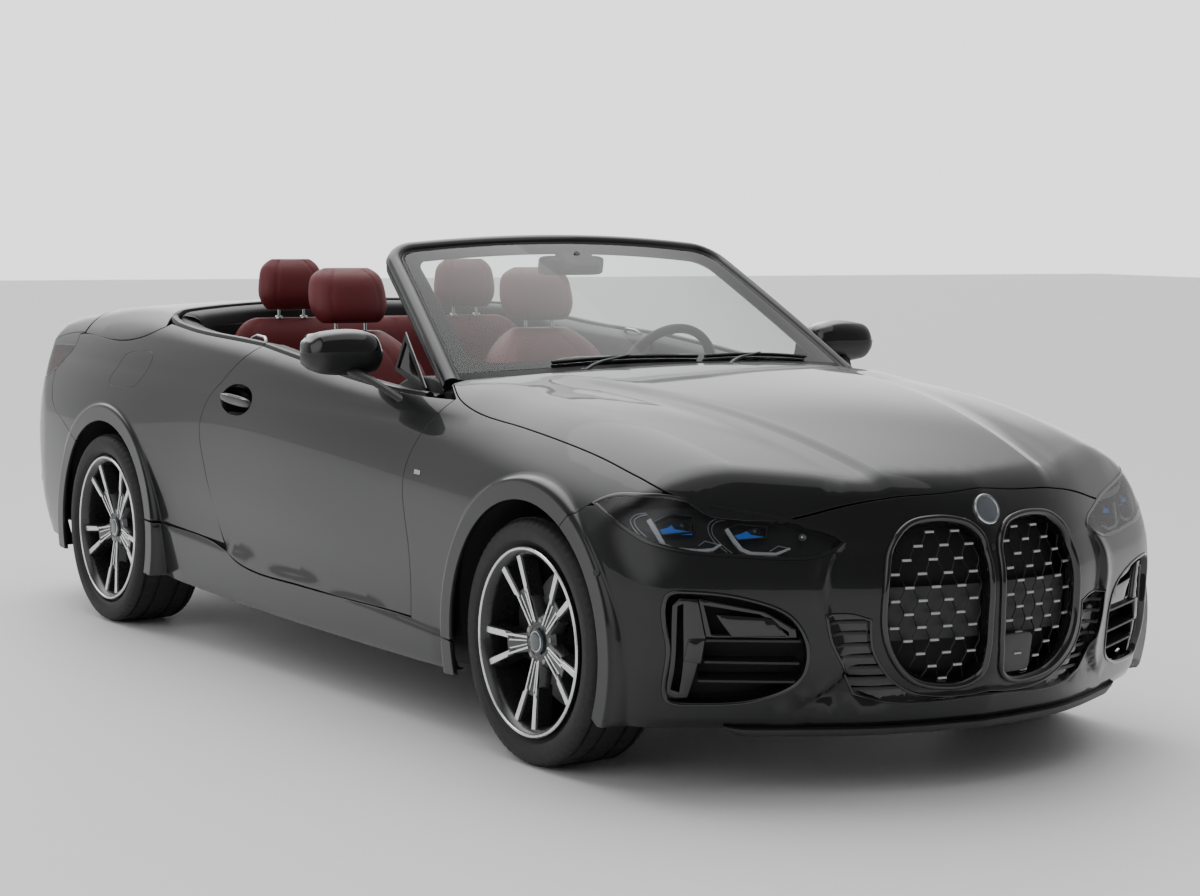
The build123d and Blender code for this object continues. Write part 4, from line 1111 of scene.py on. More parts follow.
# lower opening: gloss tray with slats, thin bright edge beneath, splitter under the lip
tray = shell(NOSE, [lower_loop], .03, .0005, -.016, edge=False)
slats = []
for z in (.272, .300, .330, .360, .390, .420, .448):
    y = np.arange(0, .50, .010)
    p = nose_at(y, np.full(len(y), z), -.010)
    p = p[inside_loop(NOSE.flat(p), NOSE.flat(lower_loop))]
    if len(p) > 3:
        slats.append(tube(p, .0022, 6, squash=2.2))
make("lower_intake_tray", [tray], GLOSS, "front_trim", 40, close=False)
make("lower_intake_slats", sided(slats), SATIN, "front_trim", 50)
make("lower_intake_edge", [bands(NOSE, lower_loop,
                                 [(-.0005, -.004), (-.0005, .0012), (.002, .0022), (.005, .0008),
                                  (.006, -.016)])], GLOSS, "front_trim", 50, close=False)
LIP_Z, LIP_HALF = .185, .66     # where the splitter meets the lip, and its half width
lip_rows = []
for out_by, z in ((-.030, .178), (-.002, .176), (.006, .171), (.007, .163), (.002, .154), (-.030, .148),
                  (-.200, .150)):
    y = np.linspace(-LIP_HALF, LIP_HALF, 90)
    level = np.full(len(y), LIP_Z)
    fade = np.clip((LIP_HALF - np.abs(y)) / .05, 0, 1) ** .5
    base = NOSE.solid(np.stack([NOSE.flat(nose_at(y, level))[:, 0], level], 1))
    n = normal_at(base)
    n[:, 2] = 0
    n /= np.linalg.norm(n, axis=1)[:, None]
    row = base + n * (out_by - .004)
    row[:, 2] = LIP_Z + (z - LIP_Z) * (.25 + .75 * fade)
    lip_rows.append(row)
make("front_splitter", [(np.concatenate(lip_rows), grid_faces(len(lip_rows), 90))], SATIN, None,
     50, close=False)

# side intakes: frame, upright slot, shaped plate, glossy block and three fins
INTAKE_RIM = [(-.0005, -.003), (-.0005, .0015), (.002, .003), (.006, .002), (.009, -.002), (.010, -.035)]
C_PLATE = [(.786, .508), (.749, .507), (.729, .407), (.743, .348), (.752, .251), (.792, .249), (.800, .262),
           (.800, .490)]
C_HOLE = [(.791, .490), (.777, .497), (.770, .265), (.791, .272)]


def filled(loop, step=.03):
    """Closed loop with straight sides, filled in with points."""
    return dense([(*p, 1) for p in loop], True, step)


def nose_loop_of(points):
    """Loop on the nose from front-view corners."""
    return NOSE.cast(nose_at(*filled(points, .012).T))


def bar_faces(count):
    """Faces of a four-sided bar."""
    return grid_faces(count, 4, wrap_cols=True) + [(0, 1, 2, 3), tuple(4 * count - k for k in (1, 2, 3, 4))]


def flat_bar(p, side, n, wide, thick):
    """Four-sided bar along p with its upper edges drawn in."""
    h, e = side * wide / 2, n * thick / 2
    ring = np.stack([p - h - e, p - h * .8 + e, p + h * .8 + e, p + h - e], 1).reshape(-1, 3)
    return ring, bar_faces(len(p))


c_plate = shell(NOSE, [nose_loop_of(C_PLATE), nose_loop_of(C_HOLE)], .02, .0, -.011, .026)
block = shell(NOSE, [nose_loop_of([(.706, .467), (.585, .457), (.548, .415), (.669, .412)])], .02, 0, -.014,
              .02)
notch = shell(NOSE, [nose_loop_of([(.764, .406), (.731, .407), (.737, .346), (.772, .351)])], .02, 0, -.006,
              .01)
bezel = shell(NOSE, [nose_loop_of([(.745, .507), (.60, .474), (.53, .43), (.527, .405), (.725, .407)]),
                     nose_loop_of([(.735, .492), (.61, .468), (.545, .424), (.543, .414), (.716, .416)])],
              .02, 0, -.020, .01)
fins = []
for z0, z1 in ((.404, .402), (.349, .345), (.299, .296)):
    y = np.linspace(.728 if z0 > .3 else .736, .520, 24)
    z = np.linspace(z0, z1, 24)
    front_p, back_p = nose_at(y, z, -.006), nose_at(y, z, -.058)
    up = np.array([0, 0, .0028])
    ring = np.stack([front_p - up, front_p + up, back_p + up, back_p - up], 1).reshape(-1, 3)
    fins.append((ring, bar_faces(len(y))))
make("side_intake_rims", sided([bands(NOSE, intake3, INTAKE_RIM)]), GLOSS, "front_trim", 50,
     close=False)
make("side_intake_plates", sided([c_plate, block, notch, bezel]), GLOSS, "front_trim", 40,
     close=False)
make("side_intake_fins", sided(fins), SATIN, "front_trim", 40)

# headlights
LAMP_RIM = [(-.0008, -.004), (-.0008, .0006), (.0015, .0012), (.0075, .0002), (.0095, -.004), (.0098, -.046)]
LAMP_BLACK = material("lamp_housing_black", (.012, .012, .013), rough=.30, scale=200, rough_vary=.15)
LAMP_GREY = material("lamp_fluted_grey", (.10, .10, .105), rough=.3, metal=.5, scale=300)
make("headlight_rims", sided([bands(NOSE, headlight3, LAMP_RIM)]), GLOSS, "headlights", 50,
     close=False)
make("headlight_housings", sided([shell(NOSE, [headlight3], .02, .004, -.050, edge=False)]), LAMP_BLACK,
     "headlights", 40, close=False)
make("headlight_lenses", sided([shell(NOSE, [headlight3], .02, .0075, -.0012, edge=False)]), LENS,
     "headlights", 40, close=False)


def lamp_line(points, lift):
    p = NOSE.through(points, step=.008)
    return p + normal_at(p) * lift


def ribbon(points, width, lift, thick=.005):
    """Flat bar lying in the lamp; width may be a list that is spread along it."""
    p = lamp_line(points, lift)
    n = normal_at(p - normal_at(p) * lift)
    t = np.gradient(p, axis=0)
    t /= np.linalg.norm(t, axis=1)[:, None]
    side = np.cross(t, n)
    side /= np.linalg.norm(side, axis=1)[:, None]
    wide = np.interp(np.linspace(0, 1, len(p)), np.linspace(0, 1, np.size(width)), np.atleast_1d(width))
    return flat_bar(p, side, n, wide[:, None], thick)


GUIDE_A = [(1.989, .819, .704), (2.014, .810, .673), (2.035, .800, .642, 1), (2.055, .778, .634, 1),
           (2.090, .722, .631), (2.104, .699, .634, 1), (2.110, .680, .646)]
GUIDE_B = [(2.103, .658, .683), (2.123, .649, .656), (2.139, .637, .634, 1), (2.153, .620, .625, 1),
           (2.185, .564, .623, 1), (2.198, .530, .637)]
THIN = [[(2.083, .729, .644), (2.088, .713, .655, 1), (2.106, .683, .647)],
        [(2.175, .576, .631), (2.180, .553, .644, 1), (2.195, .528, .638)]]
ARCS = [[(2.095, .657, .710), (2.082, .683, .705), (2.079, .696, .694), (2.084, .699, .677),
         (2.099, .690, .653), (2.124, .668, .628)],
        [(2.097, .654, .705), (2.086, .678, .700), (2.085, .688, .691), (2.090, .692, .674),
         (2.105, .682, .653), (2.131, .658, .626)],
        [(1.975, .822, .722), (1.949, .839, .715), (1.944, .849, .703), (1.959, .853, .685),
         (1.995, .842, .659), (2.033, .810, .638)],
        [(1.978, .817, .719), (1.961, .837, .711), (1.956, .846, .702), (1.968, .847, .686),
         (2.000, .834, .662)]]
CELLS = [[(1.999, .811, .700, 1), (2.021, .776, .718, 1), (2.052, .724, .714, 1), (2.065, .727, .677, 1),
          (2.022, .799, .669, 1)],
         [(2.104, .655, .683, 1), (2.115, .632, .695, 1), (2.152, .568, .689, 1), (2.159, .577, .664, 1),
          (2.125, .638, .658, 1)]]
BLUES = [[(2.016, .803, .682, 1), (2.028, .787, .687, 1), (2.030, .776, .694, 1), (2.036, .768, .684, 1),
          (2.065, .735, .678, 1), (2.066, .735, .671, 1), (2.022, .799, .671, 1)],
         [(2.117, .642, .670, 1), (2.127, .627, .675, 1), (2.131, .615, .681, 1), (2.138, .605, .672, 1),
          (2.156, .581, .668, 1), (2.157, .581, .661, 1), (2.125, .638, .661, 1)]]
guides = [ribbon(GUIDE_A, [.014, .0145, .013, .0105, .010, .010, .007], -.014),
          ribbon(GUIDE_B, [.012, .013, .0115, .0095, .009, .006], -.014)]
thin_lines = [ribbon(q, .0028, -.018, .003) for q in THIN] + [ribbon(q, .0020, -.018, .003) for q in ARCS]
flutes, cells, glow, cups = [], [], [], []
outer_arc, inner_bar = lamp_line(ARCS[3], -.024), lamp_line(GUIDE_A[:3], -.024)
for k in range(13):
    a = outer_arc[int(k / 12 * (len(outer_arc) - 1))]
    b = inner_bar[int(k / 12 * (len(inner_bar) - 1))]
    flutes.append(tube([a, (a + b) / 2, b], .0010, 5))
for q in CELLS:
    edge = NOSE.through(q, True, .01)
    cells.append(bands(NOSE, edge, [(.004, -.044), (.0035, -.026), (.0015, -.018), (-.0015, -.018),
                                    (-.0025, -.026)]))
for q in BLUES:
    glow.append(shell(NOSE, [NOSE.through(q, True, .01)], .02, 0, -.026, edge=False))
for place, r in (((2.045, .753, .693), .0125), ((2.139, .594, .680), .0115)):
    base = NOSE.through([place, place], False, 1)[0]
    axis = normal_of(base)
    base = base - axis * .034
    cups.append(lathe(base, axis, [(0, .016), (r * .5, .0145), (r * .85, .009), (r, .002), (r * 1.2, .005),
                                   (r * 1.3, .003), (r * 1.3, -.006)], 32))
base = NOSE.through([(2.201, .493, .664)] * 2, False, 1)[0]
axis = normal_of(base)
dot_lens = [lathe(base - axis * .020, axis, [(0, .008), (.005, .007), (.0082, .002), (.0094, .004),
                                             (.0105, .002), (.0105, -.004)], 24)]
make("headlight_guides", sided(guides), LAMP_LIGHT, "headlights", 40)
make("headlight_thin_lines", sided(thin_lines), DASH_GREY, "headlights", 40)
make("headlight_blue_accents", sided(glow), LAMP_BLUE, "headlights", 40, close=False)
make("headlight_cells", sided(cells), GLOSS, "headlights", 40, close=False)
make("headlight_projectors", sided(cups), material("projector_glass", (.06, .07, .08), rough=.08, coat=1.0,
                                                   scale=90), "headlights", 40, close=False)
make("headlight_small_lenses", sided(dot_lens), CHROME, "headlights", 40, close=False)
make("headlight_flutes", sided(flutes), LAMP_GREY, "headlights", 40)

# bare roundel on the nose, camera dot and parking sensors
badge_at = nose_at(.0, .716)[0]
badge_axis = normal_of(badge_at)
make("nose_roundel_ring", [lathe(badge_at, badge_axis,
                                 [(.0335, .004), (.0345, .0062), (.0385, .0066), (.0405, .0050), (.0410, .0),
                                  (.0410, -.004)], 64)], CHROME, None, 40, close=False)
make("nose_roundel_disc", [lathe(badge_at, badge_axis,
                                 [(0, .0062), (.016, .0058), (.028, .0048), (.0338, .0036)], 64)],
     material("plain_enamel_disc", (.10, .115, .13), rough=.2, coat=.9, scale=40), None, 60,
     close=False)
dots = []
for p in (nose_at(.001, .622)[0], SIDE.at([(1.904, .562)])[0]):
    dots.append(lathe(p, normal_of(p), [(0, .0014), (.0045, .0012), (.0062, .0004), (.0085, .0008),
                                        (.0090, -.002)], 24))
make("camera_and_sensor_dots", [dots[0], dots[1]] + flipped([dots[1]]), SATIN, None, 50, close=False)

# ------------------------------------------------------------------ helpers for glass, cabin and rear
def power(v, e):
    return np.sign(v) * np.abs(v) ** e


def blob(centre, half, up=.4, around=.4, rows=18, cols=36, axes=None):
    """Soft-cornered closed form from half sizes; 1 gives an ellipsoid and less is squarer."""
    a = np.linspace(-1.52, 1.52, rows)[:, None]
    b = np.linspace(0, 2 * math.pi, cols, endpoint=False)[None]
    x = power(np.cos(a), up) * power(np.cos(b), around) * half[0]
    y = power(np.cos(a), up) * power(np.sin(b), around) * half[1]
    z = power(np.sin(a), up) * np.ones_like(b) * half[2]
    v = np.stack([x, y, z], -1).reshape(-1, 3)
    if axes is not None:
        v = v @ np.array(axes)
    return v + np.array(centre), capped(rows, cols)


def swept(path, aside, profile, closed=True, up=(0, 0, 1.0)):
    """Section carried along a path: profile holds (distance along aside, distance along up)."""
    path, aside, up = np.asarray(path, float), np.asarray(aside, float), np.asarray(up, float)
    prof = np.asarray(profile, float)
    up = np.broadcast_to(up, path.shape)
    v = path[:, None] + aside[:, None] * prof[None, :, 0, None] + up[:, None] * prof[None, :, 1, None]
    m, n = len(path), len(prof)
    return v.reshape(-1, 3), capped(m, n) if closed else grid_faces(m, n)


# ------------------------------------------------------------------ windshield, frame, wipers
def screen_flat(s, t):
    s, t = np.broadcast_arrays(np.asarray(s, float), np.asarray(t, float))
    low = np.stack([.965 - .170 * s ** 2, .692 * s, 1.020 - .030 * s ** 2], -1)
    high = np.stack([.262 - .034 * s ** 2, .575 * s, 1.360 - .032 * s ** 2], -1)
    return low + (high - low) * t[..., None]


def screen_normal(s, t):
    h = .002
    n = np.cross(screen_flat(s + h, t) - screen_flat(s - h, t), screen_flat(s, t + h) - screen_flat(s, t - h))
    return n / np.linalg.norm(n, axis=-1)[..., None]


def screen_at(s, t, height=0.0):
    """Points on the windshield: s runs across from -1 to 1, t from the base up to the header."""
    s, t = np.broadcast_arrays(np.asarray(s, float), np.asarray(t, float))
    swell = .032 * np.clip(t, 0, 1) * (1 - np.clip(t, 0, 1)) * (1 - .4 * s ** 2)
    return screen_flat(s, t) + screen_normal(s, t) * (swell + height)[..., None]


HALF_W, RISE = .630, .815


def screen_place(height):
    return lambda q: screen_at(q[:, 0] / HALF_W, q[:, 1] / RISE, height)


glass_loop = filled(soft_box(-HALF_W + .001, HALF_W - .001, .002, RISE - .001, .012, .045))
clear_loop = filled(soft_box(-HALF_W + .046, HALF_W - .046, .052, RISE - .058, .085, .060))
make("windshield_pane", [cut_sheet([glass_loop], screen_place(.0), .05)], SCREEN, "windshield_glass",
     60, close=False)
FRIT = material("black_glass_print", (.018, .017, .018), rough=.25, scale=900, rough_vary=.1, coat=.5)
make("windshield_black_border", [cut_sheet([glass_loop, clear_loop], screen_place(-.0035), .05)], FRIT,
     "windshield_glass", 60, close=False)
edge_t = np.linspace(-.045, .925, 46)
bend = np.radians(np.linspace(0, 90, 10))
path = [(1, t) for t in edge_t] + [(.91 + .09 * math.cos(a), .925 + .075 * math.sin(a)) for a in bend[1:]]
path += [(v, 1) for v in np.linspace(.91, -.91, 60)[1:]]
path += [(-.91 - .09 * math.sin(a), .925 + .075 * math.cos(a)) for a in bend[1:]]
path += [(-1, t) for t in edge_t[::-1][1:]]
path = np.array(path)
rim_p = screen_at(path[:, 0], path[:, 1])
rim_n = screen_normal(path[:, 0], path[:, 1])
rim_t = np.gradient(rim_p, axis=0)
rim_t /= np.linalg.norm(rim_t, axis=1)[:, None]
rim_o = np.cross(rim_t, rim_n)
rim_o /= np.linalg.norm(rim_o, axis=1)[:, None]
if rim_o[len(rim_o) // 2][2] < 0:
    rim_o = -rim_o
FRAME_PAINT = [(.005, .001), (.009, .007), (.018, .0115), (.030, .013), (.040, .010), (.046, .003),
               (.0475, -.006), (.030, -.012), (.008, -.010)]
FRAME_BLACK = [(-.004, .0005), (.001, .0035), (.0048, .002), (.006, -.011), (.030, -.013), (.0475, -.007),
               (.0505, -.009), (.0500, -.020), (.046, -.024), (.0500, -.028), (.048, -.042), (.012, -.046),
               (-.012, -.034), (-.012, -.006)]
make("windshield_frame_painted", [swept(rim_p, rim_o, FRAME_PAINT, up=rim_n)], PAINT, "windshield_frame",
     40)
make("windshield_frame_seals", [swept(rim_p, rim_o, FRAME_BLACK, up=rim_n)], SATIN, "windshield_frame",
     35)
run = slice(3, -3)
line_path = rim_p[run] + rim_o[run] * .0512 - rim_n[run] * .015
make("windshield_frame_bright_line", [tube(line_path, .0011, 6)], TRIM, "windshield_frame", 60)
# sensor housing and interior mirror
t_axis = (screen_flat(0, 1) - screen_flat(0, 0)) / np.linalg.norm(screen_flat(0, 1) - screen_flat(0, 0))
n_axis = screen_normal(np.array(.0), np.array(.9))
housing_axes = (np.array([0, 1.0, 0]), t_axis, n_axis)
hub = screen_at(.02, .895) - n_axis * .026
make("sensor_housing", [blob(hub, (.062, .060, .020), .5, .35, axes=housing_axes),
                        rounded_box(screen_at(-.02, .925) - n_axis * .0085, (.036, .020, .006), .002,
                                    housing_axes)], SATIN, None, 40)
tilt = math.radians(8)
mirror_axes = ((0, 1.0, 0), (math.sin(tilt), 0, math.cos(tilt)), (math.cos(tilt), 0, -math.sin(tilt)))
make("interior_mirror_body", [blob((.302, .0, 1.290), (.119, .0305, .0115), .35, .30, axes=mirror_axes),
                              blob((.312, .0, 1.2925), (.104, .022, .014), .6, .45, axes=mirror_axes),
                              tube([(.312, 0, 1.297), (.327, 0, 1.315), (.338, 0, 1.330)],
                                   [.008, .0075, .010], 12)], SATIN, "interior_mirror", 40)
face_c = np.array([.2898, 0, 1.2884])
face_axes = np.array([(0, 1.0, 0), (math.sin(tilt), 0, math.cos(tilt))])
make("interior_mirror_face", [cut_sheet([soft_box(-.113, .113, -.026, .026, .022, .022)],
                                        lambda q: face_c + q @ face_axes, .03)], MIRROR, "interior_mirror",
     60, close=False)
# cowl: grained cover with ribs between hood and glass, wipers lying on it
rear_edge = np.concatenate([hood_rear3[::-1], flip_y(hood_rear3)[1:]])
rear_edge = rear_edge[np.abs(rear_edge[:, 1]) < .722]
s_run = np.clip(rear_edge[:, 1] / .692, -1.02, 1.02)
base_edge = screen_at(s_run, np.zeros(len(s_run)))
cowl_rows = []
for blend_k, drop in ((0, .016), (.02, .0065), (.18, .0065), (.24, .016), (.62, .020), (.80, .012),
                      (.93, .0035), (1.03, -.0005), (1.06, .006)):
    row = (rear_edge + [-.004, 0, 0]) * (1 - blend_k) + base_edge * blend_k
    row[:, 2] -= drop
    cowl_rows.append(row)
cowl_ribs = []
for k in range(2, len(rear_edge) - 2, 2):
    a, b = cowl_rows[3][k], cowl_rows[4][k]
    if abs(a[1]) < .62:
        cowl_ribs.append(tube([a + [0, 0, .004], b + [0, 0, .004]], .0022, 5))
make("cowl_cover", [(np.concatenate(cowl_rows), grid_faces(len(cowl_rows), len(rear_edge)))], GRAIN, "cowl",
     30, close=False)
make("cowl_ribs", cowl_ribs, SATIN, "cowl", 60)
wiper = []
for start, end, arm_start in ((.10, .74, .17), (-.62, .06, -.52)):
    v = np.linspace(start, end, 30)
    blade_line = screen_at(v, np.full(30, .022) + .012 * np.sin(np.linspace(0, math.pi, 30)), .010)
    wiper.append(tube(blade_line, .0058, 6, squash=.7))
    wiper.append(tube(blade_line - screen_normal(v, .022) * .006, .0026, 5))
    pivot = screen_at(arm_start, -.055, .006)
    elbow = screen_at(arm_start + .10, -.012, .020)
    tip = screen_at((start + end) / 2, .028, .018)
    wiper.append(tube([pivot, (pivot + elbow) / 2 + [0, 0, .004], elbow, (elbow + tip) / 2, tip],
                      [.0085, .0078, .0065, .005, .0045], 8, squash=.6))
    wiper.append(lathe(pivot - [0, 0, .012], (.2, 0, 1),
                       [(0, .024), (.007, .023), (.011, .017), (.0125, .004), (.014, .0)], 20))
make("wipers", wiper, SATIN, None, 50)

# ------------------------------------------------------------------ door mirrors
M_Y = [.797, .806, .825, .87, .93, .98, 1.010, 1.028, 1.036, 1.0395]
M_MID = spline(M_Y, [.500, .503, .509, .512, .5125, .5115, .5085, .504, .500, .497])
M_HALF = spline(M_Y, [.040, .047, .054, .057, .0575, .0565, .051, .040, .026, .008])
M_LOW = spline(M_Y, [1.008, .992, .980, .976, .976, .980, .990, 1.004, 1.016, 1.030])
M_TOP = spline(M_Y, [1.062, 1.082, 1.098, 1.109, 1.1115, 1.107, 1.096, 1.080, 1.066, 1.048])
STRIP_Z = 1.044


def mirror_band(low_share, high_share, count, lift=0.0):
    """Part of the mirror housing between two shares of its height below or above the light strip."""
    ys = np.concatenate([np.linspace(.797, .83, 8)[:-1], np.linspace(.83, 1.0, 14)[:-1],
                         np.linspace(1.0, 1.0395, 12)])
    rows = []
    for y in ys:
        mid, half, low, top = M_MID(y), M_HALF(y) + lift, M_LOW(y) - lift, M_TOP(y) + lift
        strip = min(max(STRIP_Z, low + .3 * (top - low)), top - .25 * (top - low))
        levels = []
        for share in np.linspace(low_share, high_share, count):
            levels.append(strip + share * ((top - strip) if share > 0 else (strip - low)))
        levels = np.array(levels)
        zm, hz = (top + low) / 2, (top - low) / 2
        reach = np.clip(np.abs((levels - zm) / hz), 0, 1)
        front = mid + half * (1 - reach ** 2.3) ** (1 / 2.3)
        rear = mid - half * (1 - reach ** 7) ** (1 / 7)
        rows.append([(x, y, z) for x, z in zip(front, levels)]
                    + [(x, y, z) for x, z in zip(rear[::-1], levels[::-1])])
    return np.array(rows).reshape(-1, 3), capped(len(rows), len(rows[0]))


cap_part = mirror_band(.035, 1, 14)
strip_part = mirror_band(-.075, .06, 3, .0006)
shell_part = mirror_band(-1, -.05, 12, -.0008)
mirror_plane = cut_sheet([filled(soft_box(.815, 1.022, .990, 1.098, .035, .030), .02)],
                         lambda q: np.stack([np.full(len(q), .4538), q[:, 0], q[:, 1]], 1), .03)
arm = [(.700, .800, .902), (.676, .818, .918), (.640, .846, .944), (.600, .872, .968), (.560, .892, .984),
       (.530, .905, .992)]
arm_part = tube(arm, [.020, .019, .018, .021, .026, .020], 14, squash=.55)
for tag, flip in HANDS:
    door_body, node = "door_" + tag, "mirror_" + tag
    make("mirror_cap_" + tag, [cap_part], GLOSS, node, 50, flip, rides=door_body)
    make("mirror_strip_" + tag, [strip_part], TRIM, node, 50, flip, rides=door_body)
    make("mirror_shell_" + tag, [shell_part], SATIN, node, 50, flip, rides=door_body)
    make("mirror_arm_" + tag, [arm_part], SATIN, node, 60, flip, rides=door_body)
    make("mirror_pane_" + tag, [mirror_plane], MIRROR, node, 60, flip, close=False, rides=door_body)

# ------------------------------------------------------------------ belt trim, door boxes, handles
BELT = [(.800, .9315), (.609, .9375), (.361, .9555), (-.022, .9975), (-.2670, 1.0215)]
BELT_BACK = [(-.2735, 1.0225), (-.395, 1.0285), (-.761, 1.0435), (-.960, 1.0600)]
STRIP = [(.0010, -.014), (.0006, -.006), (.0012, .003), (.0045, .0085), (.0140, .0110), (.0230, .0085),
         (.0265, .003), (.0270, -.014)]
CHANNEL = [(.0265, -.004), (.0268, -.0115), (.0320, -.0115), (.0326, -.002)]


def plan_aside(path, toward):
    """Level directions square to a path, on the side of the given point."""
    t = np.gradient(path, axis=0)
    t[:, 2] = 0
    t /= np.linalg.norm(t, axis=1)[:, None]
    n = np.stack([-t[:, 1], t[:, 0], np.zeros(len(t))], 1)
    middle = len(path) // 2
    if np.dot(n[middle], np.array(toward) - path[middle]) < 0:
        n = -n
    return n


door_belt = SIDE.curve(BELT)
door_aside = np.tile([0, -1.0, 0], (len(door_belt), 1))
side_back = SIDE.curve(BELT_BACK)
corner_a, corner_b = side_back[-1], lid_front[6]
round_corner = []
for t in np.linspace(0, 1, 10)[1:-1]:
    ctrl = np.array([corner_b[0] + .012, corner_a[1] - .012, (corner_a[2] + corner_b[2]) / 2])
    round_corner.append((1 - t) ** 2 * corner_a + 2 * t * (1 - t) * ctrl + t * t * corner_b)
ahead = np.array([.006, 0, .0015])
back_path = np.concatenate([side_back, np.array(round_corner) + ahead, lid_front[6:] + ahead])
deck_full = np.concatenate([back_path[:-1], flip_y(back_path)[::-1]])
deck_aside = plan_aside(deck_full, (-.6, 0, 1.05))
door_top_card = [(.0330, -.004), (.038, .0005), (.050, .0035), (.070, .002), (.090, -.006), (.1005, -.018),
                 (.1030, -.040)]
deck_section = [(.0330, -.004), (.036, -.0005), (.050, .0015), (.080, -.003), (.100, -.012), (.1085, -.026),
                (.1100, -.060), (.1100, -.120)]
DECK = material("dark_deck_plastic", (.022, .0225, .023), rough=.48, bump=.10, scale=1100, rough_vary=.1)
make("belt_trim_body", [swept(deck_full, deck_aside, STRIP)], TRIM, None, 40)
make("belt_channel_body", [swept(deck_full, deck_aside, CHANNEL, closed=False)], MATT, None, 60,
     close=False)
make("cabin_rear_deck", [swept(deck_full, deck_aside, deck_section, closed=False)], DECK, "rear_deck",
     50, close=False)
shelf_rows = []
for x, z in ((-1.086, 1.052), (-1.072, 1.060), (-1.050, 1.062), (-1.030, 1.060), (-1.020, 1.052),
             (-1.018, 1.030)):
    shelf_rows.append([(x, y, z) for y in np.linspace(-.66, .66, 40)])
make("rear_shelf", [(np.array(shelf_rows).reshape(-1, 3), grid_faces(len(shelf_rows), 40))], DECK,
     "rear_deck", 40, close=False)

door_flat = SIDE.flat(door_loop)
card_ring = inset(door_flat, .006)
card_low = card_ring.copy()
top_at = np.interp(card_ring[:, 0], [p[0] for p in BELT[::-1]], [p[1] for p in BELT[::-1]]) - .030
card_low[:, 1] = np.minimum(card_ring[:, 1], top_at)


def card_place(q):
    x, z = q[:, 0], q[:, 1]
    rest = np.exp(-((z - .660 - .03 * (x + .1)) / .040) ** 4) * ramp((x + .42) / .08) * ramp((.42 - x) / .12)
    pull = np.exp(-((z - .560) / .11) ** 2) * ramp((x - .30) / .1) * ramp((.72 - x) / .08)
    pocket = np.exp(-((z - .420) / .050) ** 4) * ramp((x + .30) / .06) * ramp((.62 - x) / .08)
    upper = ramp((z - .78) / .03) * .004
    return np.stack([x, .7410 - .036 * rest - .010 * pull - .020 * pocket - upper, z], 1)


card_part = cut_sheet([card_low], card_place, .022)
wall_outer = SIDE.solid(inset(door_flat, GAP + .0006))
wall_outer = wall_outer - normal_at(wall_outer) * .012
wall_inner = card_place(card_low)
n_ring = len(wall_outer)
wall_part = (np.concatenate([wall_outer, wall_outer * .35 + wall_inner * .65, wall_inner]),
             grid_faces(3, n_ring, wrap_cols=True))
bowl_n = normal_at(handle3)
bowl_mid = handle3.mean(0)
bowl_axis = normal_at(SIDE.at([(-.309, .849)]))[0]
bowl_rows = []
for share, deep in ((1.0, 0), (.992, .0012), (.965, .006), (.90, .013), (.79, .0195), (.62, .0245),
                    (.40, .0275), (.15, .0285)):
    lean = bowl_n * share + bowl_axis * (1 - share)
    bowl_rows.append(bowl_mid + (handle3 - bowl_mid) * share - lean * deep)
bowl_faces = capped(len(bowl_rows), len(handle3))
del bowl_faces[-2]              # open on the outside
bowl = (np.concatenate(bowl_rows), bowl_faces)
bar_p = SIDE.solid(np.stack([np.linspace(-.428, -.200, 30), np.linspace(.852, .842, 30)], 1))
bar_out = normal_at(bar_p)
bar_rows = []
for k in range(30):
    t = abs(2 * k / 29 - 1)
    high, thick = .0165 * (1 - t ** 3.2) ** .5 + .0008, .0085 * (1 - t ** 4) ** .5 + .0008
    for j in range(22):
        c = 2 * math.pi * j / 22
        bar_rows.append(bar_p[k] + np.array([0, 0, 1.0]) * high * float(power(np.sin(c), .8))
                        + bar_out[k] * (thick * float(power(np.cos(c), .8)) - .001))
bar = (np.array(bar_rows), capped(30, 22))
bar_line = tube(bar_p[2:-2] + bar_out[2:-2] * .0062 + np.array([0, 0, .0098]), .0012, 6)
for tag, flip in HANDS:
    node = "door_" + tag
    make("door_box_" + tag, [wall_part], PAINT, node, 30, flip, close=False, rides=node)
    make("door_card_" + tag, [card_part], LEATHER_BLACK, node, 40, flip, close=False,
         rides=node)
    make("door_top_pad_" + tag, [swept(door_belt, door_aside, door_top_card, closed=False)], LEATHER_BLACK,
         node, 50, flip, close=False, rides=node)
    make("belt_trim_" + tag, [swept(door_belt, door_aside, STRIP)], TRIM, node, 40, flip, rides=node)
    make("belt_channel_" + tag, [swept(door_belt, door_aside, CHANNEL, closed=False)], MATT, node, 60,
         flip, close=False, rides=node)
    make("handle_bowl_" + tag, [bowl], GLOSS, node, 60, flip, close=False, rides=node)
    make("handle_bar_" + tag, [bar], PAINT, node, 60, flip, rides=node)
    make("handle_line_" + tag, [bar_line], CHROME, node, 60, flip, rides=node)
badge_p = SIDE.at([(.927, .727)])[0]
b_n = normal_of(badge_p)
b_t = np.array([1.0, 0, 0]) - b_n * b_n[0]
b_t /= np.linalg.norm(b_t)
make("fender_plain_plates", sided([rounded_box(badge_p + b_n * .0008, (.034, .012, .0024), .0008,
                                               (b_t, np.cross(b_n, b_t), b_n))]), CHROME, None, 30)

